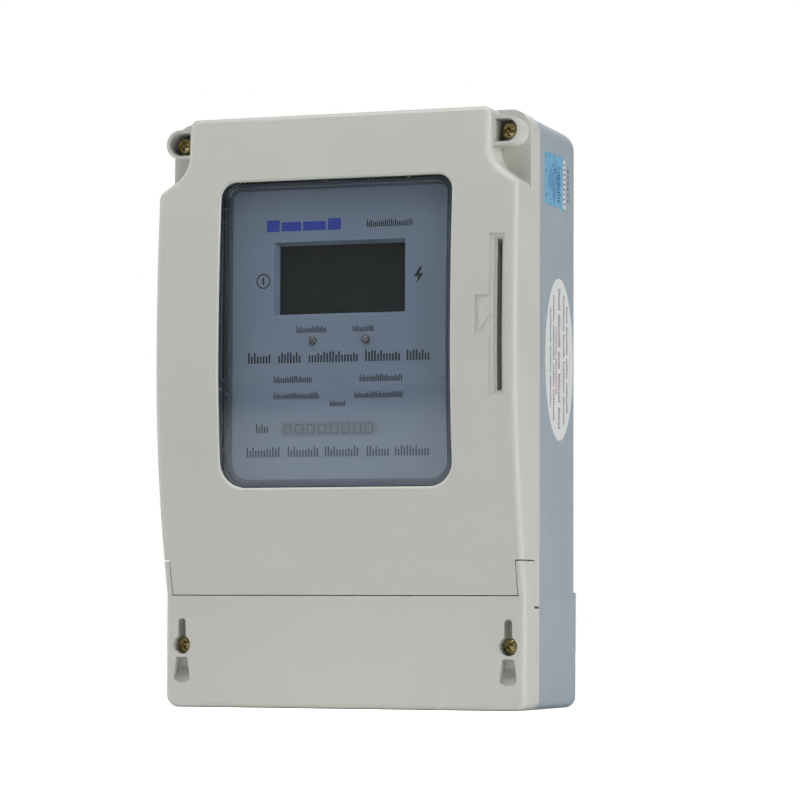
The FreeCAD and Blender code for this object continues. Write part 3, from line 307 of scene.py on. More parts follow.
def moulded(tree, given):
    """Spark-eroded grain: fine noise bump, slow shade changes as resin flows, and faint rubbed blotches."""
    where = object_place(tree)
    grain = noise(tree, where, given["Grain Scale"], 3.0, 0.65)
    pores = noise(tree, where, maths(tree, "MULTIPLY", given["Grain Scale"], 2.7), 2.0, 0.6)
    flow = ranged(tree, noise(tree, where, 13.0, 3.0), 0.32, 0.70)
    fine = ranged(tree, noise(tree, where, 950.0, 2.0), 0.3, 0.7)
    shade = maths(tree, "MULTIPLY", maths(tree, "ADD", maths(tree, "MULTIPLY", flow, 0.75),
                                          maths(tree, "MULTIPLY", fine, 0.25)), given["Variation"])
    dark = mixed(tree, 1.0, given["Color"], (0.86, 0.85, 0.82, 1), "MULTIPLY")
    colour = mixed(tree, shade, given["Color"], dark)
    speck = ranged(tree, cell_distance(tree, where, 120.0), 0.045, 0.02)
    speck = maths(tree, "MULTIPLY", speck, given["Specks"])
    colour = mixed(tree, speck, colour, (0.10, 0.09, 0.08, 1))
    rubbed = ranged(tree, noise(tree, where, 46.0, 4.0, 0.6), 0.42, 0.72, -0.06, 0.08)
    rough = maths(tree, "ADD", given["Roughness"], rubbed)
    height = maths(tree, "ADD", grain, maths(tree, "MULTIPLY", pores, 0.5))
    normal = add(tree, "ShaderNodeBump", {"Height": height, "Strength": given["Grain Depth"],
                                          "Distance": 0.00006}).outputs[0]
    return colour, rough, normal


def plated(tree, given):
    """Turned and plated metal: fine tool rings, cloudy passivation and darker spots."""
    where = object_place(tree)
    cloud = ranged(tree, noise(tree, where, 420.0, 4.0, 0.6), 0.35, 0.68)
    fine = noise(tree, object_place(tree, (1.0, 8.0, 1.0)), 1500.0, 3.0, 0.6)
    spots = ranged(tree, noise(tree, where, 1300.0, 1.0), 0.66, 0.74)
    colour = mixed(tree, cloud, given["Color"], given["Stain"])
    colour = mixed(tree, maths(tree, "MULTIPLY", spots, 0.5), colour, (0.08, 0.06, 0.04, 1))
    rough = maths(tree, "ADD", given["Roughness"], ranged(tree, cloud, 0.0, 1.0, -0.05, 0.12))
    normal = add(tree, "ShaderNodeBump", {"Height": fine, "Strength": given["Tool Marks"],
                                          "Distance": 0.00003}).outputs[0]
    return colour, rough, normal


def laminate(tree, given):
    """A circuit board: weave under green resist, track bundles in patches, and small pads."""
    where = object_place(tree)
    split = add(tree, "ShaderNodeSeparateXYZ", {0: where}).outputs
    cell = add(tree, "ShaderNodeTexVoronoi", {"Vector": where, "Scale": 95.0}, feature="F1",
               distance="CHEBYCHEV")
    pick = add(tree, "ShaderNodeSeparateColor", {0: cell.outputs["Color"]}).outputs
    along_x, along_z = sine_of(tree, split[0], TRACK_RATE), sine_of(tree, split[2], TRACK_RATE)
    turned_way = ranged(tree, pick[0], 0.48, 0.52)
    lines = maths(tree, "ADD", maths(tree, "MULTIPLY", along_x, turned_way),
                  maths(tree, "MULTIPLY", along_z, maths(tree, "SUBTRACT", 1.0, turned_way)))
    tracks = maths(tree, "MULTIPLY", ranged(tree, lines, 0.1, 0.35), ranged(tree, pick[1], 0.35, 0.4))
    pads = ranged(tree, cell_distance(tree, where, 260.0), 0.20, 0.16)
    pad = maths(tree, "MULTIPLY", pads, ranged(tree, pick[2], 0.6, 0.62))
    colour = mixed(tree, maths(tree, "MULTIPLY", tracks, 0.55), given["Color"], given["Track"])
    colour = mixed(tree, pad, colour, (0.60, 0.58, 0.52, 1))
    weave = maths(tree, "MULTIPLY", sine_of(tree, split[0], WEAVE_RATE), sine_of(tree, split[2], WEAVE_RATE))
    height = maths(tree, "ADD", maths(tree, "MULTIPLY", weave, 0.15), maths(tree, "ADD", tracks, pad))
    rough = ranged(tree, pad, 0.0, 1.0, 0.36, 0.28)
    normal = add(tree, "ShaderNodeBump", {"Height": height, "Strength": 0.6, "Distance": 0.00004}).outputs[0]
    return colour, rough, normal


def banded(tree, given):
    """Stacked layers or turns of wire: a sine ridge along one axis, uneven from layer to layer."""
    where = object_place(tree)
    split = add(tree, "ShaderNodeSeparateXYZ", {0: where}).outputs
    along = maths(tree, "ADD", maths(tree, "MULTIPLY", split[0], given["Along X"]),
                  maths(tree, "ADD", maths(tree, "MULTIPLY", split[1], given["Along Y"]),
                        maths(tree, "MULTIPLY", split[2], given["Along Z"])))
    ridge = maths(tree, "SINE", maths(tree, "ADD", along, noise(tree, where, 60.0, 2.0)))
    uneven = ranged(tree, noise(tree, where, 150.0, 3.0), 0.3, 0.7)
    groove = ranged(tree, ridge, -0.9, 0.1, 1.0, 0.0)
    colour = mixed(tree, maths(tree, "MULTIPLY", groove, 0.6), given["Color"], given["Groove"])
    colour = mixed(tree, maths(tree, "MULTIPLY", uneven, 0.3), colour, given["Groove"])
    rough = maths(tree, "ADD", given["Roughness"], ranged(tree, uneven, 0.0, 1.0, -0.06, 0.08))
    normal = add(tree, "ShaderNodeBump", {"Height": ridge, "Strength": 0.5, "Distance": 0.00008}).outputs[0]
    return colour, rough, normal


def film(tree, given):
    """Printed or sticker film: even ink with faint screen dots, a little orange peel and soft scuffs."""
    where = object_place(tree)
    peel = noise(tree, where, 700.0, 2.0)
    ink = ranged(tree, noise(tree, where, 24.0, 3.0), 0.3, 0.7)
    dots = cell_distance(tree, where, 2400.0)
    deep = mixed(tree, 1.0, given["Color"], (0.88, 0.90, 0.93, 1), "MULTIPLY")
    colour = mixed(tree, maths(tree, "MULTIPLY", ink, given["Variation"]), given["Color"], deep)
    lighter = mixed(tree, 1.0, colour, (1.10, 1.10, 1.10, 1), "MULTIPLY")
    colour = mixed(tree, ranged(tree, dots, 0.1, 0.5), lighter, colour)
    scuff = ranged(tree, noise(tree, object_place(tree, (1, 1, 5), (0, 0.5, 0)), 190.0, 4.0, 0.7), 0.6, 0.75)
    rough = maths(tree, "ADD", given["Roughness"], maths(tree, "MULTIPLY", scuff, 0.12))
    normal = add(tree, "ShaderNodeBump", {"Height": peel, "Strength": 0.12, "Distance": 0.00004}).outputs[0]
    return colour, rough, normal


def lozenge(tree, given):
    """A security sticker's ground: a darker lozenge over fine wavy lines, centred on the sticker."""
    where = object_place(tree)
    split = add(tree, "ShaderNodeSeparateXYZ", {0: where}).outputs
    across = share_off(tree, split[1], given["Middle Y"], LOZENGE_HALF_WIDE)
    upward = share_off(tree, split[2], given["Middle Z"], LOZENGE_HALF_TALL)
    shape = ranged(tree, maths(tree, "ADD", across, upward), 1.02, 0.98)
    sway = sine_of(tree, split[1], 1900.0)
    waves = maths(tree, "SINE", maths(tree, "ADD", maths(tree, "MULTIPLY", split[2], 6800.0),
                                      maths(tree, "MULTIPLY", sway, 1.6)))
    lines = ranged(tree, waves, 0.1, 0.7)
    blotch = ranged(tree, noise(tree, where, 650.0, 3.0), 0.35, 0.65)
    colour = mixed(tree, maths(tree, "MULTIPLY", shape, 0.60), given["Color"], given["Mark"])
    colour = mixed(tree, maths(tree, "MULTIPLY", lines, 0.35), colour, given["Mark"])
    colour = mixed(tree, maths(tree, "MULTIPLY", blotch, 0.12), colour, (0.70, 0.85, 0.93, 1))
    rough = ranged(tree, blotch, 0.0, 1.0, 0.26, 0.40)
    normal = add(tree, "ShaderNodeBump", {"Height": lines, "Strength": 0.15, "Distance": 0.00003}).outputs[0]
    return colour, rough, normal


def make_effects():
    """Makes every shared effect once."""
    effect("Moulded resin", [("Color", COLOUR, (0.5, 0.5, 0.5, 1)), ("Variation", VALUE, 0.4),
                             ("Roughness", VALUE, 0.5), ("Grain Scale", VALUE, 2400.0),
                             ("Grain Depth", VALUE, 0.3), ("Specks", VALUE, 0.3)], moulded)
    effect("Plated metal", [("Color", COLOUR, (0.7, 0.7, 0.7, 1)), ("Stain", COLOUR, (0.4, 0.4, 0.4, 1)),
                            ("Roughness", VALUE, 0.3), ("Tool Marks", VALUE, 0.3)], plated)
    effect("Board laminate", [("Color", COLOUR, (0.02, 0.1, 0.05, 1)),
                              ("Track", COLOUR, (0.05, 0.2, 0.1, 1))], laminate)
    effect("Layers", [("Color", COLOUR, (0.5, 0.5, 0.5, 1)), ("Groove", COLOUR, (0.1, 0.1, 0.1, 1)),
                      ("Along X", VALUE, 0.0), ("Along Y", VALUE, 0.0), ("Along Z", VALUE, 0.0),
                      ("Roughness", VALUE, 0.4)], banded)
    effect("Printed film", [("Color", COLOUR, (0.5, 0.5, 0.5, 1)), ("Variation", VALUE, 0.5),
                            ("Roughness", VALUE, 0.4)], film)
    effect("Security sticker", [("Color", COLOUR, (0.2, 0.4, 0.6, 1)), ("Mark", COLOUR, (0.05, 0.15, 0.4, 1)),
                                ("Middle Y", VALUE, 0.0), ("Middle Z", VALUE, 0.0)], lozenge)


COLOUR_SOCKETS = ("Color", "Stain", "Track", "Groove", "Mark")


def rgba(colour):
    """A colour with full opacity."""
    return (*tuple(colour)[:3], 1.0)


def material(name, effect_name, values, **shader):
    """A material whose colour, roughness and normal come from an effect. Shader keys set the sockets
    of its Principled shader."""
    made = bpy.data.materials.new(name)
    made.use_nodes = True
    tree = made.node_tree
    body = tree.nodes["Principled BSDF"]
    source = add(tree, "ShaderNodeGroup", node_tree=GROUPS[effect_name])
    for key, value in values.items():
        source.inputs[key].default_value = rgba(value) if key in COLOUR_SOCKETS else value
    for made_by, taken_by in (("Color", "Base Color"), ("Roughness", "Roughness"), ("Normal", "Normal")):
        tree.links.new(source.outputs[made_by], body.inputs[taken_by])
    for key, value in shader.items():
        body.inputs[key.replace("_", " ")].default_value = value
    return made


def clear(name, tint, rough, ior=1.49):
    """Clear resin: a transmitting shader with faint hairlines, which lets the lamps' light through to
    what is behind it."""
    made = bpy.data.materials.new(name)
    made.use_nodes = True
    tree = made.node_tree
    body, leave = tree.nodes["Principled BSDF"], tree.nodes["Material Output"]
    body.inputs["Base Color"].default_value = rgba(tint)
    body.inputs["Transmission Weight"].default_value = 1.0
    body.inputs["IOR"].default_value = ior
    hair = noise(tree, object_place(tree, (1, 1, 9), (0, 0.8, 0)), 160.0, 5.0, 0.7)
    tree.links.new(ranged(tree, hair, 0.60, 0.80, rough, rough + 0.03), body.inputs["Roughness"])
    lamps = add(tree, "ShaderNodeLightPath").outputs["Is Shadow Ray"]
    through = add(tree, "ShaderNodeBsdfTransparent", {"Color": rgba(tint)})
    both = add(tree, "ShaderNodeMixShader", {0: lamps, 1: body.outputs[0], 2: through.outputs[0]})
    tree.links.new(both.outputs[0], leave.inputs["Surface"])
    return made


def finish_node(made, *names):
    """Gives a material to every slot of the named CAD nodes."""
    for name in names:
        slots = NODES[name].data.materials
        if not slots:
            slots.append(made)
        for index in range(len(slots)):
            slots[index] = made


def resin(name, colour, roughness, scale=2400.0, depth=0.3, variation=0.4, specks=0.0):
    """Moulded resin."""
    return material(name, "Moulded resin", {
        "Color": colour, "Variation": variation, "Roughness": roughness, "Grain Scale": scale,
        "Grain Depth": depth, "Specks": specks})


def film_of(name, colour, variation, roughness, **shader):
    """Ink, or the film of a sticker or a display."""
    return material(name, "Printed film", {"Color": colour, "Variation": variation,
                                           "Roughness": roughness}, **shader)


def layered(name, colour, groove, axis, rate, roughness, **shader):
    """Stacked sheets or turns along one axis, at so many radians in a metre."""
    return material(name, "Layers", {"Color": colour, "Groove": groove, f"Along {axis}": rate,
                                     "Roughness": roughness}, **shader)


def metal(name, colour, stain, roughness, marks=0.3):
    """Turned, rolled or plated metal."""
    return material(name, "Plated metal", {"Color": colour, "Stain": stain, "Roughness": roughness,
                                           "Tool Marks": marks}, Metallic=1.0)


# ------------------------------------------------------------------ operators

class METER_OT_finishes(bpy.types.Operator):
    """Gives every carried-over part its own procedural finish"""
    bl_idname = "meter.finishes"
    bl_label = "Finishes"

    def execute(self, context):
        colours = context.scene.meter_colours
        make_effects()
        finish_node(resin("Cover resin", colours.cover, 0.46, 2100.0, 0.34, 0.35, 0.25),
                    "front_cover", "terminal_cover")
        finish_node(resin("Base resin", colours.base, 0.50, 2100.0, 0.36, 0.35, 0.2), "base", "hanger_hook")
        finish_node(clear("Window resin", (0.93, 0.95, 0.97), 0.0), "window_lens")
        finish_node(film_of("Nameplate print", colours.plate, 0.5, 0.42), "nameplate")
        finish_node(film_of("Display panel", colours.display, 0.6, 0.38, Specular_IOR_Level=0.3),
                    "display_glass")
        finish_node(resin("Milky diffuser", (0.80, 0.81, 0.77), 0.35, 1500.0, 0.1), "display_light_guide")
        finish_node(film_of("Lamp resin", (0.085, 0.080, 0.078), 0.3, 0.10, Coat_Weight=1.0),
                    "warning_lamp", "pulse_lamp")
        finish_node(resin("Foam seal", (0.012, 0.012, 0.013), 0.85, 5200.0, 0.9), "cover_gasket")
        finish_node(metal("Turned brass", (0.72, 0.52, 0.20), (0.42, 0.27, 0.09), 0.28),
                    "threaded_inserts", "brass_terminals", "card_contacts")
        finish_node(metal("Rolled copper", (0.72, 0.32, 0.18), (0.40, 0.16, 0.09), 0.30),
                    "supply_busbars", "load_busbars", "neutral_link")
        finish_node(metal("Bright zinc", (0.66, 0.67, 0.69), (0.42, 0.43, 0.46), 0.27),
                    "terminal_clamp_screws", "terminal_block_screws", "pulse_terminal_screws",
                    "board_screws", "nameplate_screws")
        finish_node(metal("Tinned metal", (0.70, 0.70, 0.68), (0.5, 0.5, 0.49), 0.32),
                    "display_pins", "crystal")
        finish_node(resin("Block resin", (0.020, 0.020, 0.022), 0.42, 1900.0, 0.3, 0.6), "terminal_block")
        finish_node(resin("Guide resin", (0.40, 0.41, 0.37), 0.45, 2100.0, 0.3), "card_socket")
        finish_node(resin("Strip resin", (0.035, 0.20, 0.085), 0.38, 1900.0, 0.2), "pulse_terminal_strip")
        finish_node(resin("Relay case", (0.016, 0.018, 0.026), 0.24, 1500.0, 0.12, 0.5),
                    "phase_relay_1", "phase_relay_2", "phase_relay_3")
        finish_node(resin("Potted blue resin", (0.020, 0.075, 0.30), 0.22, 900.0, 0.16, 0.5),
                    "current_transformer_1", "current_transformer_2", "current_transformer_3")
        finish_node(material("Green board", "Board laminate", {"Color": (0.010, 0.085, 0.035),
                                                               "Track": (0.035, 0.20, 0.075)}),
                    "main_board", "power_board", "card_board")
        finish_node(resin("Chip epoxy", (0.014, 0.014, 0.015), 0.48, 3600.0, 0.4, 0.5),
                    "microcontroller", "metering_chip", "small_chips", "buzzer")
        finish_node(resin("Battery sleeve", (0.10, 0.26, 0.10), 0.30, 700.0, 0.08, 0.4), "battery")
        finish_node(resin("Cream resin", (0.70, 0.66, 0.55), 0.42, 2000.0, 0.2),
                    "battery_holder", "link_connectors", "lamp_spacers")
        finish_node(layered("Iron laminations", (0.115, 0.115, 0.12), (0.02, 0.02, 0.02), "Y", 12500.0, 0.42,
                            Metallic=0.7), "transformer_core")
        finish_node(layered("Wound tape", (0.70, 0.50, 0.055), (0.42, 0.26, 0.03), "Z", 3900.0, 0.34),
                    "transformer_coil")
        finish_node(resin("Capacitor sleeve", (0.014, 0.018, 0.055), 0.26, 800.0, 0.1), "capacitors")
        finish_node(resin("Dipped blue", (0.015, 0.065, 0.32), 0.25, 420.0, 0.5, 0.5), "surge_absorbers")
        finish_node(layered("Flat ribbon", (0.22, 0.22, 0.235), (0.08, 0.08, 0.09), "X", 4950.0, 0.45),
                    "link_ribbon")
        finish_node(resin("Lever resin", (0.72, 0.72, 0.69), 0.30, 1800.0, 0.15), "card_lever")
        finish_node(resin("Black insulation", (0.014, 0.014, 0.015), 0.40, 1200.0, 0.15),
                    "transformer_leads", "relay_leads")
        finish_node(resin("Red insulation", (0.34, 0.018, 0.014), 0.38, 1200.0, 0.15),
                    "voltage_leads", "pulse_leads")
        finish_node(film_of("White sticker", (0.74, 0.75, 0.74), 0.4, 0.38), "rating_label")
        middle = mid("inspection_label")
        finish_node(material("Blue sticker", "Security sticker", {
            "Color": (0.155, 0.42, 0.62), "Mark": (0.055, 0.20, 0.45), "Middle Y": middle[1],
            "Middle Z": middle[2]}), "inspection_label")
        return {"FINISHED"}


def tick_row(left, right, low, height, words, sizes):
    """A row of short upright ticks in word-long groups between two ends: tick k of a word stands at
    start + k times pitch, and its height steps between three levels by k squared, so that no letters form."""
    pitch, wide = height * sizes.pitch_share, height * sizes.tick_share
    share = np.array(words, float)
    gap = pitch * 1.6
    room = (right - left) - gap * (len(words) - 1)
    starts = left + np.concatenate([[0], np.cumsum(share[:-1] / share.sum() * room + gap)])
    lengths = share / share.sum() * room
    places = [start + pitch * np.arange(max(1, int(length / pitch)))
              for start, length in zip(starts, lengths)]
    across = np.concatenate(places) + wide / 2
    step = np.arange(len(across))
    tall = height * np.array([1.0, 0.68, 0.68, 0.84])[(step * step + step // 3) % 4]
    return np.stack([across, low + tall / 2, np.full(len(across), wide / 2), tall / 2], axis=1)


def printed(rows, sizes, origin, axes):
    """Ticks laid on a plane: across and up are measured from its origin along its own axes (across,
    out, up)."""
    flat = np.concatenate([tick_row(*row, sizes) for row in rows]) * MM
    lift = sizes.lift
    local = np.stack([flat[:, 0], np.full(len(flat), lift / 2), flat[:, 1]], axis=1)
    halves = np.stack([flat[:, 2], np.full(len(flat), lift / 2), flat[:, 3]], axis=1)
    return blocks(np.asarray(origin) + local @ np.asarray(axes, float), halves, axes)


def closed_band(inner, outer, lift, origin, axes):
    """A flat band between two closed outlines with the same number of points, given thickness. The
    section's four corners are inner and outer at both heights, each joined to the next all round."""
    around = len(inner)
    local = np.stack([np.stack([line[:, 0], np.full(around, height), line[:, 1]], axis=1)
                      for line, height in ((inner, 0.0), (outer, 0.0), (outer, lift), (inner, lift))])
    points = (np.asarray(origin) + local @ np.asarray(axes, float)).reshape(-1, 3)
    step = np.arange(around)
    after = (step + 1) % around
    closing = np.stack([3 * around + step, 3 * around + after, after, step], axis=1)
    return points, np.concatenate([sheet_faces(4, around, True), closing]).tolist()


def ring(centre, inner, outer, lift, axes, around=72):
    """A flat ring: both outlines are radius times (cosine, sine) of the same angles."""
    angle = np.linspace(0, 2 * math.pi, around, endpoint=False)
    way = np.stack([np.cos(angle), np.sin(angle)], axis=1)
    return closed_band(inner * way, outer * way, lift, centre, axes)


def rounded_outline(half, low, high, round_low, round_high, inset):
    """A rounded rectangle: four quarter arcs about its corners' middles, each of that corner's radius
    less the inset."""
    angle = np.linspace(0, math.pi / 2, 10)
    corners = ((1, high - round_high, round_high, 0.0), (-1, high - round_high, round_high, math.pi / 2),
               (-1, low + round_low, round_low, math.pi), (1, low + round_low, round_low, 1.5 * math.pi))
    arcs = [np.stack([side * (half - radius) + (radius - inset) * np.cos(angle + start),
                      middle + (radius - inset) * np.sin(angle + start)], axis=1)
            for side, middle, radius, start in corners]
    return np.concatenate(arcs) * MM


def flat_shape(outline, lift, origin, axes):
    """An outline given thickness: the same corners at both heights, joined by sides."""
    outline = np.asarray(outline, float) * MM
    n = len(outline)
    low = np.stack([outline[:, 0], np.zeros(n), outline[:, 1]], axis=1)
    points = np.concatenate([low, low + (0, lift, 0)]) @ np.asarray(axes, float) + np.asarray(origin)
    step = np.arange(n)
    sides = np.stack([step, (step + 1) % n, (step + 1) % n + n, step + n], axis=1)
    return points, [list(range(n))[::-1], list(range(n, 2 * n))] + sides.tolist()


# Rows of the nameplate: left, right, foot of the row, height and word lengths. These and the other
# places on the plate are in mm, from its middle line and from the foot of the case.
PLATE_ROWS = [
    (11.0, 30.0, 181.0, 2.7, (9,)),
    (-17.2, -4.6, 141.7, 2.4, (7,)),
    (5.6, 14.8, 141.7, 2.4, (5,)),
    (-37.0, 37.6, 130.4, 4.0, (5, 5, 10, 7, 5)),
    (-26.4, -10.0, 122.9, 2.5, (7,)),
    (8.4, 26.0, 122.9, 2.5, (10,)),
    (-26.4, -7.6, 116.7, 2.4, (10,)),
    (6.4, 26.0, 116.7, 2.4, (11,)),
    (-3.4, 3.2, 113.8, 2.1, (4,)),
    (-33.6, -27.2, 104.0, 3.6, (3,)),
]
MAKER_ROWS = [(-37.4, 37.6, 94.8, 3.9, (8, 7, 8, 5, 8))]
BOLT = [(0.4, 3.1), (-1.9, -0.5), (-0.3, -0.5), (-0.8, -3.1), (1.9, 0.6), (0.3, 0.6), (1.5, 3.1)]
BOLT_PLACE = (31.8, 0, 162.3)
CLASS_MARK_PLACE = (-30.9, 0, 161.7)
OUTWARD = np.array([(1, 0, 0), (0, -1, 0), (0, 0, 1)], float)
# middle across, middle height, half width and half height
ACCENT_BARS = np.array([(-27.0, 182.6, 2.6, 2.2), (-19.6, 182.2, 4.0, 1.7), (-10.2, 182.2, 4.6, 1.7),
                        (-2.1, 182.6, 2.6, 2.2)])
# the plate's edge: how far the painted shade band stays inside it, its corners' radii, and the band's width.
# The band is painted shade: dark colour standing in for the shadow that the window's edge and the lens walls
# cast on the plate
PLATE_MARGIN, ROUND_LOW, ROUND_HIGH, PAINTED_SHADE_WIDE = 0.1, 9.3, 5.8, 2.5
NUMBER_ROW = 105.3
NUMBER_CELLS, FIRST_CELL, CELL_PITCH = 8, -20.6, 4.7
# middle and half size of each stroke round a number cell
CELL_STROKES = (((-1.4, 0, 0), (0.14, 0.03, 1.7)), ((1.4, 0, 0), (0.14, 0.03, 1.7)),
                ((0, 0, 1.7), (1.4, 0.03, 0.14)), ((0, 0, -1.7), (1.4, 0.03, 0.14)))


def plate_print_and_shade(name, surface, ink):
    """Puts print on the nameplate, and also the band of painted shade round its edge."""
    put(name, surface, ink, "base")


class METER_OT_nameplate_print(bpy.types.Operator):
    """Lays plain, unreadable print on the nameplate, and a band of painted shade round its edge"""
    bl_idname = "meter.nameplate_print"
    bl_label = "Nameplate Print"

    def execute(self, context):
        sizes, colours = context.scene.meter_print, context.scene.meter_colours
        lift = sizes.lift
        low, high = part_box("nameplate")
        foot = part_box("base")[0].z
        origin = np.array((0.0, low.y, foot))
        ink = film_of("Dark ink", colours.ink, 0.4, 0.5)
        # painted shade: a dark band round the plate's edge stands in for the shadow of the window's edge and
        # the lens walls
        edge = (high.x / MM - PLATE_MARGIN, (low.z - foot) / MM + PLATE_MARGIN,
                (high.z - foot) / MM - PLATE_MARGIN, ROUND_LOW, ROUND_HIGH)
        edge_shade_band = closed_band(rounded_outline(*edge, PAINTED_SHADE_WIDE), rounded_outline(*edge, 0.0), lift, origin,
                             OUTWARD)
        plate_print_and_shade("nameplate_painted_edge_shade", edge_shade_band, film_of("Painted edge shade", (0.075, 0.095, 0.130), 0.4, 0.45))
        plate_print_and_shade("nameplate_rows", printed(PLATE_ROWS, sizes, origin, OUTWARD), ink)
        plate_print_and_shade("maker_row", printed(MAKER_ROWS, sizes, origin, OUTWARD),
                    film_of("Deep blue ink", (0.010, 0.022, 0.075), 0.4, 0.5))
        bars = ACCENT_BARS * MM
        half_lift = np.full(len(bars), lift / 2)
        plate_print_and_shade("accent_bars", blocks(origin + np.stack([bars[:, 0], -half_lift, bars[:, 1]], axis=1),
                                          np.stack([bars[:, 2], half_lift, bars[:, 3]], axis=1)),
                    film_of("Blue ink", colours.accent, 0.4, 0.45))
        mark = origin + np.array(CLASS_MARK_PLACE) * MM
        stroke = blocks([mark - (0, lift / 2, 0)], [(0.36 * MM, lift / 2, 1.35 * MM)])
        plate_print_and_shade("class_mark", joined([ring(mark, 2.35 * MM, 2.85 * MM, lift, OUTWARD), stroke]), ink)
        plate_print_and_shade("energy_mark", flat_shape(BOLT, lift, origin + np.array(BOLT_PLACE) * MM, OUTWARD), ink)
        plate_print_and_shade("number_field", blocks([origin + np.array((-4.0, -0.012, NUMBER_ROW)) * MM],
                                           [np.array((19.5, 0.012, 2.9)) * MM]),
                    film_of("Stamped ground", (0.150, 0.180, 0.215), 0.9, 0.30))
        across = FIRST_CELL + np.arange(NUMBER_CELLS) * CELL_PITCH
        cells = np.stack([across, np.full(NUMBER_CELLS, -0.05), np.full(NUMBER_CELLS, NUMBER_ROW)], axis=1)
        strokes = [blocks(origin + cells * MM + np.array(shift) * MM,
                          np.tile(np.array(half) * MM, (NUMBER_CELLS, 1))) for shift, half in CELL_STROKES]
        plate_print_and_shade("number_cells", joined(strokes),
                    film_of("Worn stamp ink", (0.055, 0.07, 0.09), 0.8, 0.4))
        return {"FINISHED"}


SIDE_DRAFT = math.radians(0.8)
# Rows of the oval sticker, as on the nameplate, but they run down its length, and the foot of a row
# is measured from its middle towards the wall.
OVAL_ROWS = [(-21.0, 21.0, 9.0, 2.0, (5, 8, 6, 9)), (-25.0, 25.0, 4.8, 2.0, (9, 6, 8, 7)),
             (-24.0, 24.0, -8.4, 2.0, (7, 9, 6, 8)), (-19.0, 19.0, -12.4, 1.8, (8, 6, 7))]
OVAL_HEADING = [(-27.0, 27.0, -1.6, 2.8, (6, 9, 5, 8, 6))]
OVAL_ACCENT = [(-12.0, 14.0, -5.0, 1.7, (7, 9))]


def side_print(name, surface, ink):
    """Puts print or film on the right side."""
    put(name, surface, ink, "base")


def stacked(count, pitch, middle):
    """Places straight up, one pitch in mm apart, with number middle at nought."""
    rise = (np.arange(count) - middle) * pitch * MM
    return np.stack([np.zeros(count), np.zeros(count), rise], axis=1)


class METER_OT_side_stickers(bpy.types.Operator):
    """Prints plain ticks on the stickers of the right side, in the plane of the drafted wall"""
    bl_idname = "meter.side_stickers"
    bl_label = "Side Stickers"

    def execute(self, context):
        sizes = context.scene.meter_print
        along = np.array((-math.sin(SIDE_DRAFT), math.cos(SIDE_DRAFT), 0.0))
        outward = np.array((math.cos(SIDE_DRAFT), math.sin(SIDE_DRAFT), 0.0))
        low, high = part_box("rating_label")
        middle_z, front = (low.z + high.z) / 2, low.y
        origin = np.array((high.x, front, middle_z)) + along * (high.y - low.y) / 2 / math.cos(SIDE_DRAFT)
        axes = np.array((np.array((0, 0, -1.0)), outward, along))
        grey = film_of("Grey sticker ink", (0.10, 0.11, 0.12), 0.5, 0.5)
        side_print("rating_label_rows", printed(OVAL_ROWS, sizes, origin, axes), grey)
        side_print("rating_label_heading", printed(OVAL_HEADING, sizes, origin, axes), grey)
        side_print("rating_label_accent", printed(OVAL_ACCENT, sizes, origin, axes),
                   film_of("Red sticker ink", (0.42, 0.05, 0.05), 0.5, 0.5))
        low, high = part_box("inspection_label")
        corner = np.array((high.x, low.y, (low.z + high.z) / 2))
        wide = (high.y - low.y) / math.cos(SIDE_DRAFT)
        up_axes = np.array((along, outward, np.array((0, 0, 1.0))))
        code = corner + along * wide * 0.76 + outward * 0.02 * MM + stacked(12, 1.1, 6.5)
        step = np.arange(12)
        lengths = np.array([1.7, 1.1, 1.5])[(step * step) % 3]
        code_half = np.stack([lengths, np.full(12, 0.03), np.full(12, 0.24)], axis=1) * MM
        side_print("inspection_rows", blocks(code, code_half, up_axes),
                   film_of("Sticker blue ink", (0.02, 0.07, 0.16), 0.5, 0.4))
        strip = corner + along * (wide + 2.0 * MM) - outward * 0.08 * MM
        side_print("side_strip", blocks([strip], [np.array((1.9, 0.06, 9.4)) * MM], up_axes),
                   film_of("Strip film", (0.66, 0.69, 0.72), 0.4, 0.34))
        small = strip + outward * 0.09 * MM + stacked(9, 1.9, 4.0)
        side_print("side_strip_rows", blocks(small, np.tile(np.array((1.1, 0.03, 0.28)) * MM, (9, 1)), up_axes),
                   grey)
        dashes = corner + along * (wide + 7.4 * MM) - outward * 0.13 * MM + stacked(6, 2.3, 2.5)
        side_print("side_dashes", blocks(dashes, np.tile(np.array((0.62, 0.03, 0.75)) * MM, (6, 1)), up_axes),
                   grey)
        return {"FINISHED"}


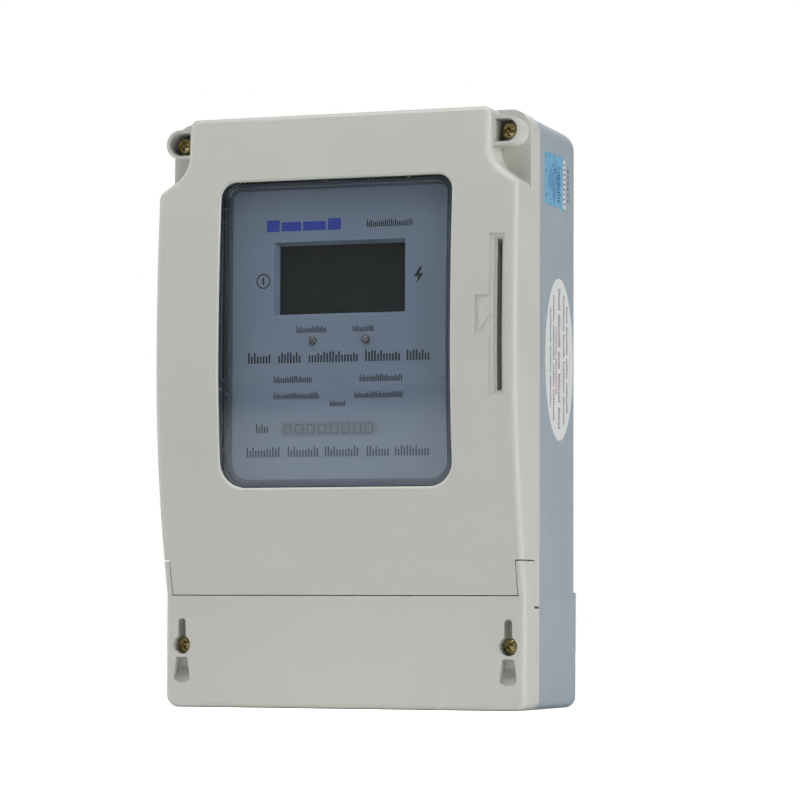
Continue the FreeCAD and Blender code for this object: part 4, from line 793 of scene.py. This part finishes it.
def screw_surface(node, head, head_tall, crest, sizes):
    """A pan head screw on its own axis. Radius and distance follow one profile from tip to crown.
    Along the shank the radius is root + depth times a clipped triangle wave of (distance over pitch
    minus turn). On the crown the height drops by the recess depth inside a cross with tapered arms."""
    low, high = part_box(node)
    centre = (low + high) / 2
    tip, top = -high.y, -low.y
    seat = top - head_tall
    neck, rim = seat - 1.0 * MM, 0.25 * MM
    n = sizes.around
    turn = np.linspace(0, 2 * math.pi, n, endpoint=False)
    shank = np.linspace(tip + 0.25 * MM, neck, int((seat - tip) / sizes.thread_pitch * 6))
    wave = (shank[:, None] / sizes.thread_pitch - turn[None] / (2 * math.pi)) % 1.0
    ridge = np.clip(1.25 - np.abs(wave - 0.5) * 2.6, 0, 1)
    fade = np.clip((shank - tip) / (1.4 * MM), 0.25, 1) * np.clip((neck - shank) / (0.7 * MM), 0, 1)
    threads = crest - sizes.thread_depth + sizes.thread_depth * ridge * fade[:, None]
    bend = np.linspace(0, math.pi / 2, 12)
    side = np.stack([head - rim + rim * np.sin(bend), seat + rim - rim * np.cos(bend)], axis=1)
    reach = np.linspace(1.0, 0.0, 44)[:-1]
    crown_r = head * reach
    crown_h = top - (head_tall - 0.55 * MM) * (1 - np.sqrt(np.clip(1 - (reach * 0.985) ** 2, 0, 1))) * 0.78
    plain = np.concatenate([np.full((1, n), crest - sizes.thread_depth), threads,
                            np.full((1, n), crest - sizes.thread_depth * 0.5),
                            np.repeat(side[:, :1], n, axis=1), np.repeat(crown_r[:, None], n, axis=1)])
    heights = np.concatenate([[tip], shank, [seat - 0.02 * MM], side[:, 1], crown_h])
    heights = np.repeat(heights[:, None], n, axis=1)
    x, z = plain * np.cos(turn), plain * np.sin(turn)
    arm = np.maximum(np.minimum(np.abs(x), np.abs(z)) - (0.16 * head - 0.05 * plain), 0)
    inside = np.clip(1 - arm / (0.10 * head), 0, 1) * np.clip((0.66 * head - plain) / (0.14 * head), 0, 1)
    heights[-len(reach):] -= (sizes.recess_depth * inside)[-len(reach):]
    rings = np.stack([centre.x + x, -heights, centre.z + z], axis=2)
    return turned(rings[:, ::-1])


# which cover a screw holds, and its head's radius and height in mm
SCREW_HEADS = (("cover", 3.1, 2.6), ("terminal_cover", 3.0, 2.7))
SCREW_CREST = 2.0 * MM


class METER_OT_sealing_screws(bpy.types.Operator):
    """Makes the four sealing screws with threads and a cross recess"""
    bl_idname = "meter.sealing_screws"
    bl_label = "Sealing Screws"

    def execute(self, context):
        sizes, colours = context.scene.meter_screws, context.scene.meter_colours
        plating = metal("Yellow zinc", colours.plating, (0.20, 0.19, 0.08), 0.13, 0.3)
        for side in ("left", "right"):
            for cover, head, tall in SCREW_HEADS:
                node = f"{cover}_screw_{side}"
                surface = screw_surface(node, head * MM, tall * MM, SCREW_CREST, sizes)
                put(f"{node}_threaded", surface, plating, node, smooth=True,
                    replaces=(node,))
        return {"FINISHED"}


def gull_legs(starts, outward, along, drop, reach, wide, thick):
    """Gull-wing legs: four corners carried along five stations, out from the chip, down, and out
    along the board."""
    starts = np.asarray(starts, float)
    outward, along, face = np.asarray(outward, float), np.asarray(along, float), np.array((0, 1.0, 0))
    path = np.array([(0, 0), (0.30, 0), (0.45, drop), (0.55, drop), (1.0, drop)]) * (reach, 1)
    corners = np.array([(-1, 0), (1, 0), (1, 1), (-1, 1)], float)
    spine = path[:, None, :1] * outward + path[:, None, 1:] * face
    section = corners[None, :, :1] * along * wide / 2 - corners[None, :, 1:] * face * thick
    one = spine + section
    points = starts[:, None, None] + one[None]
    faces = np.concatenate([sheet_faces(5, 4, True), [[3, 2, 1, 0], [16, 17, 18, 19]]])
    faces = faces[None] + 20 * np.arange(len(starts))[:, None, None]
    return points.reshape(-1, 3), faces.reshape(-1, 4).tolist()


# chip, legs on each side, and its sides with legs: whether a side runs along x, and which way it faces
CHIPS = (("microcontroller", 16, ((True, 1), (False, 1), (True, -1), (False, -1))),
         ("metering_chip", 12, ((True, 1), (True, -1))))
# in mm: heights above the foot of the rows of small parts, places that they keep clear of (across,
# height and distance), and the middle and half height of the band that they leave free behind the display
RESISTOR_ROWS = np.array([66, 72, 78, 84, 100, 124.5, 129, 136, 184, 201])
KEEP_CLEAR = ((-46, 73.5, 8.5), (40, 90, 5), (-40, 90, 5), (40, 190, 5), (-40, 190, 5),
              (10.7, 138.7, 5), (-10.7, 138.7, 5), (54.5, 65, 5), (-54.5, 65, 5))
DISPLAY_BAND = (162, 19)
CAPACITOR_PLACES = (6.0, 19.0, 32.0)
SOLDER_ROWS, BEADS_IN_ROW, BEAD_SIZE = (110.4, 203.6), 21, 0.8 * MM


def chip_legs(board):
    """The legs of both flat chips."""
    legs = []
    for chip, count, legged_sides in CHIPS:
        low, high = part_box(chip)
        rise = -(low.y - board) * 0.45
        for lengthwise, sign in legged_sides:
            span = (low.x, high.x) if lengthwise else (low.z, high.z)
            pitch = (span[1] - span[0]) / count
            step = span[0] + (span[1] - span[0]) * (np.arange(count) + 0.5) / count
            out = (0, 0, sign) if lengthwise else (sign, 0, 0)
            edge = (high.z if sign > 0 else low.z) if lengthwise else (high.x if sign > 0 else low.x)
            flat, level = np.full(count, edge), np.full(count, board - rise)
            starts = np.stack([step, level, flat] if lengthwise else [flat, level, step], axis=1)
            legs.append(gull_legs(starts, out, (1, 0, 0) if lengthwise else (0, 0, 1), rise - 0.08 * MM,
                                  1.3 * MM, pitch * 0.45, 0.13 * MM))
    return joined(legs)


def resistor_places(rng):
    """Places on the main board in loose rows, thinned at random and kept clear of the other parts."""
    columns, rows = np.meshgrid(np.arange(-50, 51, 6.5), RESISTOR_ROWS)
    spots = np.stack([columns.ravel(), rows.ravel()], axis=1) + rng.uniform(-1.1, 1.1, (columns.size, 2))
    spots = spots[rng.random(len(spots)) < 0.62]
    for x, z, distance in KEEP_CLEAR:
        spots = spots[np.hypot(spots[:, 0] - x, spots[:, 1] - z) > distance]
    return spots[np.abs(spots[:, 1] - DISPLAY_BAND[0]) > DISPLAY_BAND[1]]


def chip_resistors(board, foot):
    """The bodies of the small parts, and their tinned ends; each lies across or upright at random."""
    rng = np.random.default_rng(RNG_SEED)
    spots = resistor_places(rng)
    wide = (rng.random(len(spots)) < 0.5)[:, None]
    half = np.where(wide, (1.0, 0.625), (0.625, 1.0))
    centres = np.stack([spots[:, 0] * MM, np.full(len(spots), board - 0.3 * MM), spots[:, 1] * MM + foot],
                       axis=1)
    core = np.stack([half[:, 0] * 0.98, np.full(len(spots), 0.27), half[:, 1] * 0.98], axis=1) * MM
    shift = np.where(wide, (0.84, 0.0), (0.0, 0.84)) * MM
    caps = np.where(wide, (0.2, 0.66), (0.66, 0.2)) * MM
    away = np.stack([shift[:, 0], np.zeros(len(spots)), shift[:, 1]], axis=1)
    cap_half = np.stack([caps[:, 0], np.full(len(spots), 0.3 * MM), caps[:, 1]], axis=1)
    ends = joined([blocks(centres + away * sign, cap_half) for sign in (1, -1)])
    return blocks(centres, core), ends


def capacitor_vents():
    """A cross on the crown of each capacitor."""
    low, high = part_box("capacitors")
    middles, halves = [], []
    for x in np.array(CAPACITOR_PLACES) * MM:
        for half in ((3.4, 0.08, 0.16), (0.16, 0.08, 3.4)):
            middles.append((x, low.y - 0.06 * MM, (low.z + high.z) / 2))
            halves.append(np.array(half) * MM)
    return blocks(middles, halves)


def solder_beads(board, foot):
    """Two rows of beads: at share s of its height a bead's radius is (1 - 0.75 s^1.5) times its size."""
    angle = np.linspace(0, 2 * math.pi, 12, endpoint=False)
    up = np.array((0.0, 0.25, 0.6, 0.85, 1.0))[:, None]
    radius = (1.0 - up ** 1.5 * 0.75) * BEAD_SIZE
    level = np.repeat(board - up * BEAD_SIZE, len(angle), axis=1)
    across = np.tile(np.linspace(-40, 40, BEADS_IN_ROW), 2) * MM
    height = np.repeat(SOLDER_ROWS, BEADS_IN_ROW) * MM + foot
    return joined([turned(np.stack([x + radius * np.cos(angle), level, z + radius * np.sin(angle)],
                                   axis=2)[:, ::-1]) for x, z in zip(across, height)])


class METER_OT_board_details(bpy.types.Operator):
    """Adds chip legs, small surface-mounted parts and solder to the boards"""
    bl_idname = "meter.board_details"
    bl_label = "Board Details"

    def execute(self, context):
        tin = bpy.data.materials["Tinned metal"]
        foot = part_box("base")[0].z
        board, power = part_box("main_board")[0].y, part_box("power_board")[0].y
        put("chip_legs", chip_legs(board), tin, "base")
        bodies, ends = chip_resistors(board, foot)
        put("chip_resistors", bodies, resin("Resistor body", (0.02, 0.02, 0.022), 0.4, 4000.0, 0.2), "base",
            bevel=0.04 * MM)
        put("chip_resistor_ends", ends, tin, "base", bevel=0.04 * MM)
        put("capacitor_vents", capacitor_vents(), tin, "base")
        put("solder_beads", solder_beads(power, foot), tin, "base", smooth=True)
        return {"FINISHED"}


# ------------------------------------------------------------------ stage

FLOOR_GAP = 0.05 * MM
FLOOR_REACH = 40
FLOOR_GLOW = 0.93
WHITE = (1, 1, 1, 1)
# name, place in metres, watts and side in metres
SOFTBOXES = (("left_softbox", (-1.6, -0.60, 0.40), 9.5, 1.1), ("right_softbox", (1.6, -0.42, 0.30), 18.0, 1.1),
             ("top_softbox", (-0.1, -0.50, 1.65), 20.5, 0.8), ("back_softbox", (-0.5, 1.8, 0.6), 7.0, 1.2))


def floor_finish(colour):
    """A matt floor that glows for the camera only, and that is left out where it is met from below,
    so that it never hides the meter."""
    made = bpy.data.materials.new("Pale floor")
    made.use_nodes = True
    tree = made.node_tree
    ground, leave = tree.nodes["Principled BSDF"], tree.nodes["Material Output"]
    ground.inputs["Base Color"].default_value = rgba(colour)
    ground.inputs["Roughness"].default_value = 0.9
    ground.inputs["Specular IOR Level"].default_value = 0.0
    ground.inputs["Emission Color"].default_value = WHITE
    seen = add(tree, "ShaderNodeLightPath").outputs["Is Camera Ray"]
    tree.links.new(maths(tree, "MULTIPLY", seen, FLOOR_GLOW), ground.inputs["Emission Strength"])
    below = add(tree, "ShaderNodeNewGeometry").outputs["Backfacing"]
    nothing = add(tree, "ShaderNodeBsdfTransparent")
    both = add(tree, "ShaderNodeMixShader", {0: below, 1: ground.outputs[0], 2: nothing.outputs[0]})
    tree.links.new(both.outputs[0], leave.inputs["Surface"])
    return made


def pale_floor(scene, colour):
    """A square floor just under the foot; the gap keeps it off the foot's own underside."""
    level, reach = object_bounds()[0].z - FLOOR_GAP, FLOOR_REACH
    mesh = bpy.data.meshes.new("floor")
    mesh.from_pydata([(-reach, -reach, level), (reach, -reach, level), (reach, reach, level),
                      (-reach, reach, level)], [], [(0, 1, 2, 3)])
    mesh.materials.append(floor_finish(colour))
    floor = bpy.data.objects.new("floor", mesh)
    scene.collection.objects.link(floor)
    floor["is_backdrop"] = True


def studio_world(scene):
    """A dim room, a little brighter low down, with a white backdrop for the camera only."""
    world = bpy.data.worlds.new("Studio")
    scene.world = world
    world.use_nodes = True
    tree = world.node_tree
    tree.nodes.clear()
    seen = add(tree, "ShaderNodeLightPath").outputs["Is Camera Ray"]
    way = add(tree, "ShaderNodeTexCoord").outputs["Generated"]
    height = add(tree, "ShaderNodeSeparateXYZ", {0: way}).outputs[2]
    glow = ranged(tree, height, -0.02, 0.40, 0.13, 0.07)
    room = add(tree, "ShaderNodeBackground", {"Color": WHITE, "Strength": glow})
    backdrop = add(tree, "ShaderNodeBackground", {"Color": WHITE, "Strength": 1.0})
    mix = add(tree, "ShaderNodeMixShader", {0: seen, 1: room.outputs[0], 2: backdrop.outputs[0]})
    leave = add(tree, "ShaderNodeOutputWorld")
    tree.links.new(mix.outputs[0], leave.inputs["Surface"])


def soft_light(scene, name, place, power, across):
    """A square soft box that faces the meter."""
    lamp = bpy.data.lights.new(name, "AREA")
    lamp.energy, lamp.size = power, across
    holder = bpy.data.objects.new(name, lamp)
    holder.location = place
    holder.rotation_mode = "QUATERNION"
    holder.rotation_quaternion = (-Vector(place)).to_track_quat("-Z", "Y")
    scene.collection.objects.link(holder)


def place_camera(scene, sizes):
    """The camera, turned about the vertical, then tilted up, then leant about its own line of sight."""
    camera = bpy.data.cameras.new("camera")
    camera.lens, camera.sensor_width = sizes.lens, 36.0
    camera.clip_start, camera.clip_end = 0.01, 100.0
    eye = bpy.data.objects.new("camera", camera)
    ahead = Vector((-math.sin(sizes.turn) * math.cos(sizes.tilt),
                    math.cos(sizes.turn) * math.cos(sizes.tilt), math.sin(sizes.tilt)))
    level = Vector((math.cos(sizes.turn), math.sin(sizes.turn), 0))
    up = level.cross(ahead)
    right = level * math.cos(sizes.roll) + up * math.sin(sizes.roll)
    up = right.cross(ahead)
    turn = Matrix((right, up, -ahead)).transposed().to_4x4()
    eye.matrix_world = Matrix.Translation(Vector(sizes.eye)) @ turn
    scene.collection.objects.link(eye)
    scene.camera = eye


class METER_OT_stage(bpy.types.Operator):
    """Sets out the floor, the soft lights, the world and the camera"""
    bl_idname = "meter.stage"
    bl_label = "Stage"

    def execute(self, context):
        scene, sizes = context.scene, context.scene.meter_stage
        scene.view_settings.view_transform = "Standard"
        pale_floor(scene, sizes.floor_colour)
        studio_world(scene)
        for box in SOFTBOXES:
            soft_light(scene, *box)
        place_camera(scene, sizes)
        return {"FINISHED"}


# ------------------------------------------------------------------ panel and registration

class METER_PT_panel(bpy.types.Panel):
    """Lists the meter's pieces"""
    bl_idname = "METER_PT_panel"
    bl_label = "Electricity Meter"
    bl_space_type = "VIEW_3D"
    bl_region_type = "UI"
    bl_category = "Meter"

    def draw(self, context):
        for operator in PIECES:
            self.layout.operator(operator.bl_idname)
        for group in ("meter_colours", "meter_print", "meter_screws", "meter_stage"):
            box = self.layout.box()
            held = getattr(context.scene, group)
            for key in type(held).__annotations__:
                box.prop(held, key)


GROUPS_OF_SIZES = {"meter_colours": MeterColours, "meter_print": PrintSizes, "meter_screws": ScrewSizes,
                   "meter_stage": StageSizes}
PIECES = (METER_OT_finishes, METER_OT_nameplate_print, METER_OT_side_stickers, METER_OT_sealing_screws,
          METER_OT_board_details, METER_OT_stage)


def register():
    for made in (*GROUPS_OF_SIZES.values(), *PIECES, METER_PT_panel):
        bpy.utils.register_class(made)
    for name, made in GROUPS_OF_SIZES.items():
        setattr(bpy.types.Scene, name, bpy.props.PointerProperty(type=made))


def unregister():
    for name in GROUPS_OF_SIZES:
        delattr(bpy.types.Scene, name)
    for made in reversed((*GROUPS_OF_SIZES.values(), *PIECES, METER_PT_panel)):
        bpy.utils.unregister_class(made)


def main():
    register()
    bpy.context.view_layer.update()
    for operator in PIECES:
        group, call = operator.bl_idname.split(".")
        getattr(getattr(bpy.ops, group), call)()


if __name__ == "__main__":
    main()
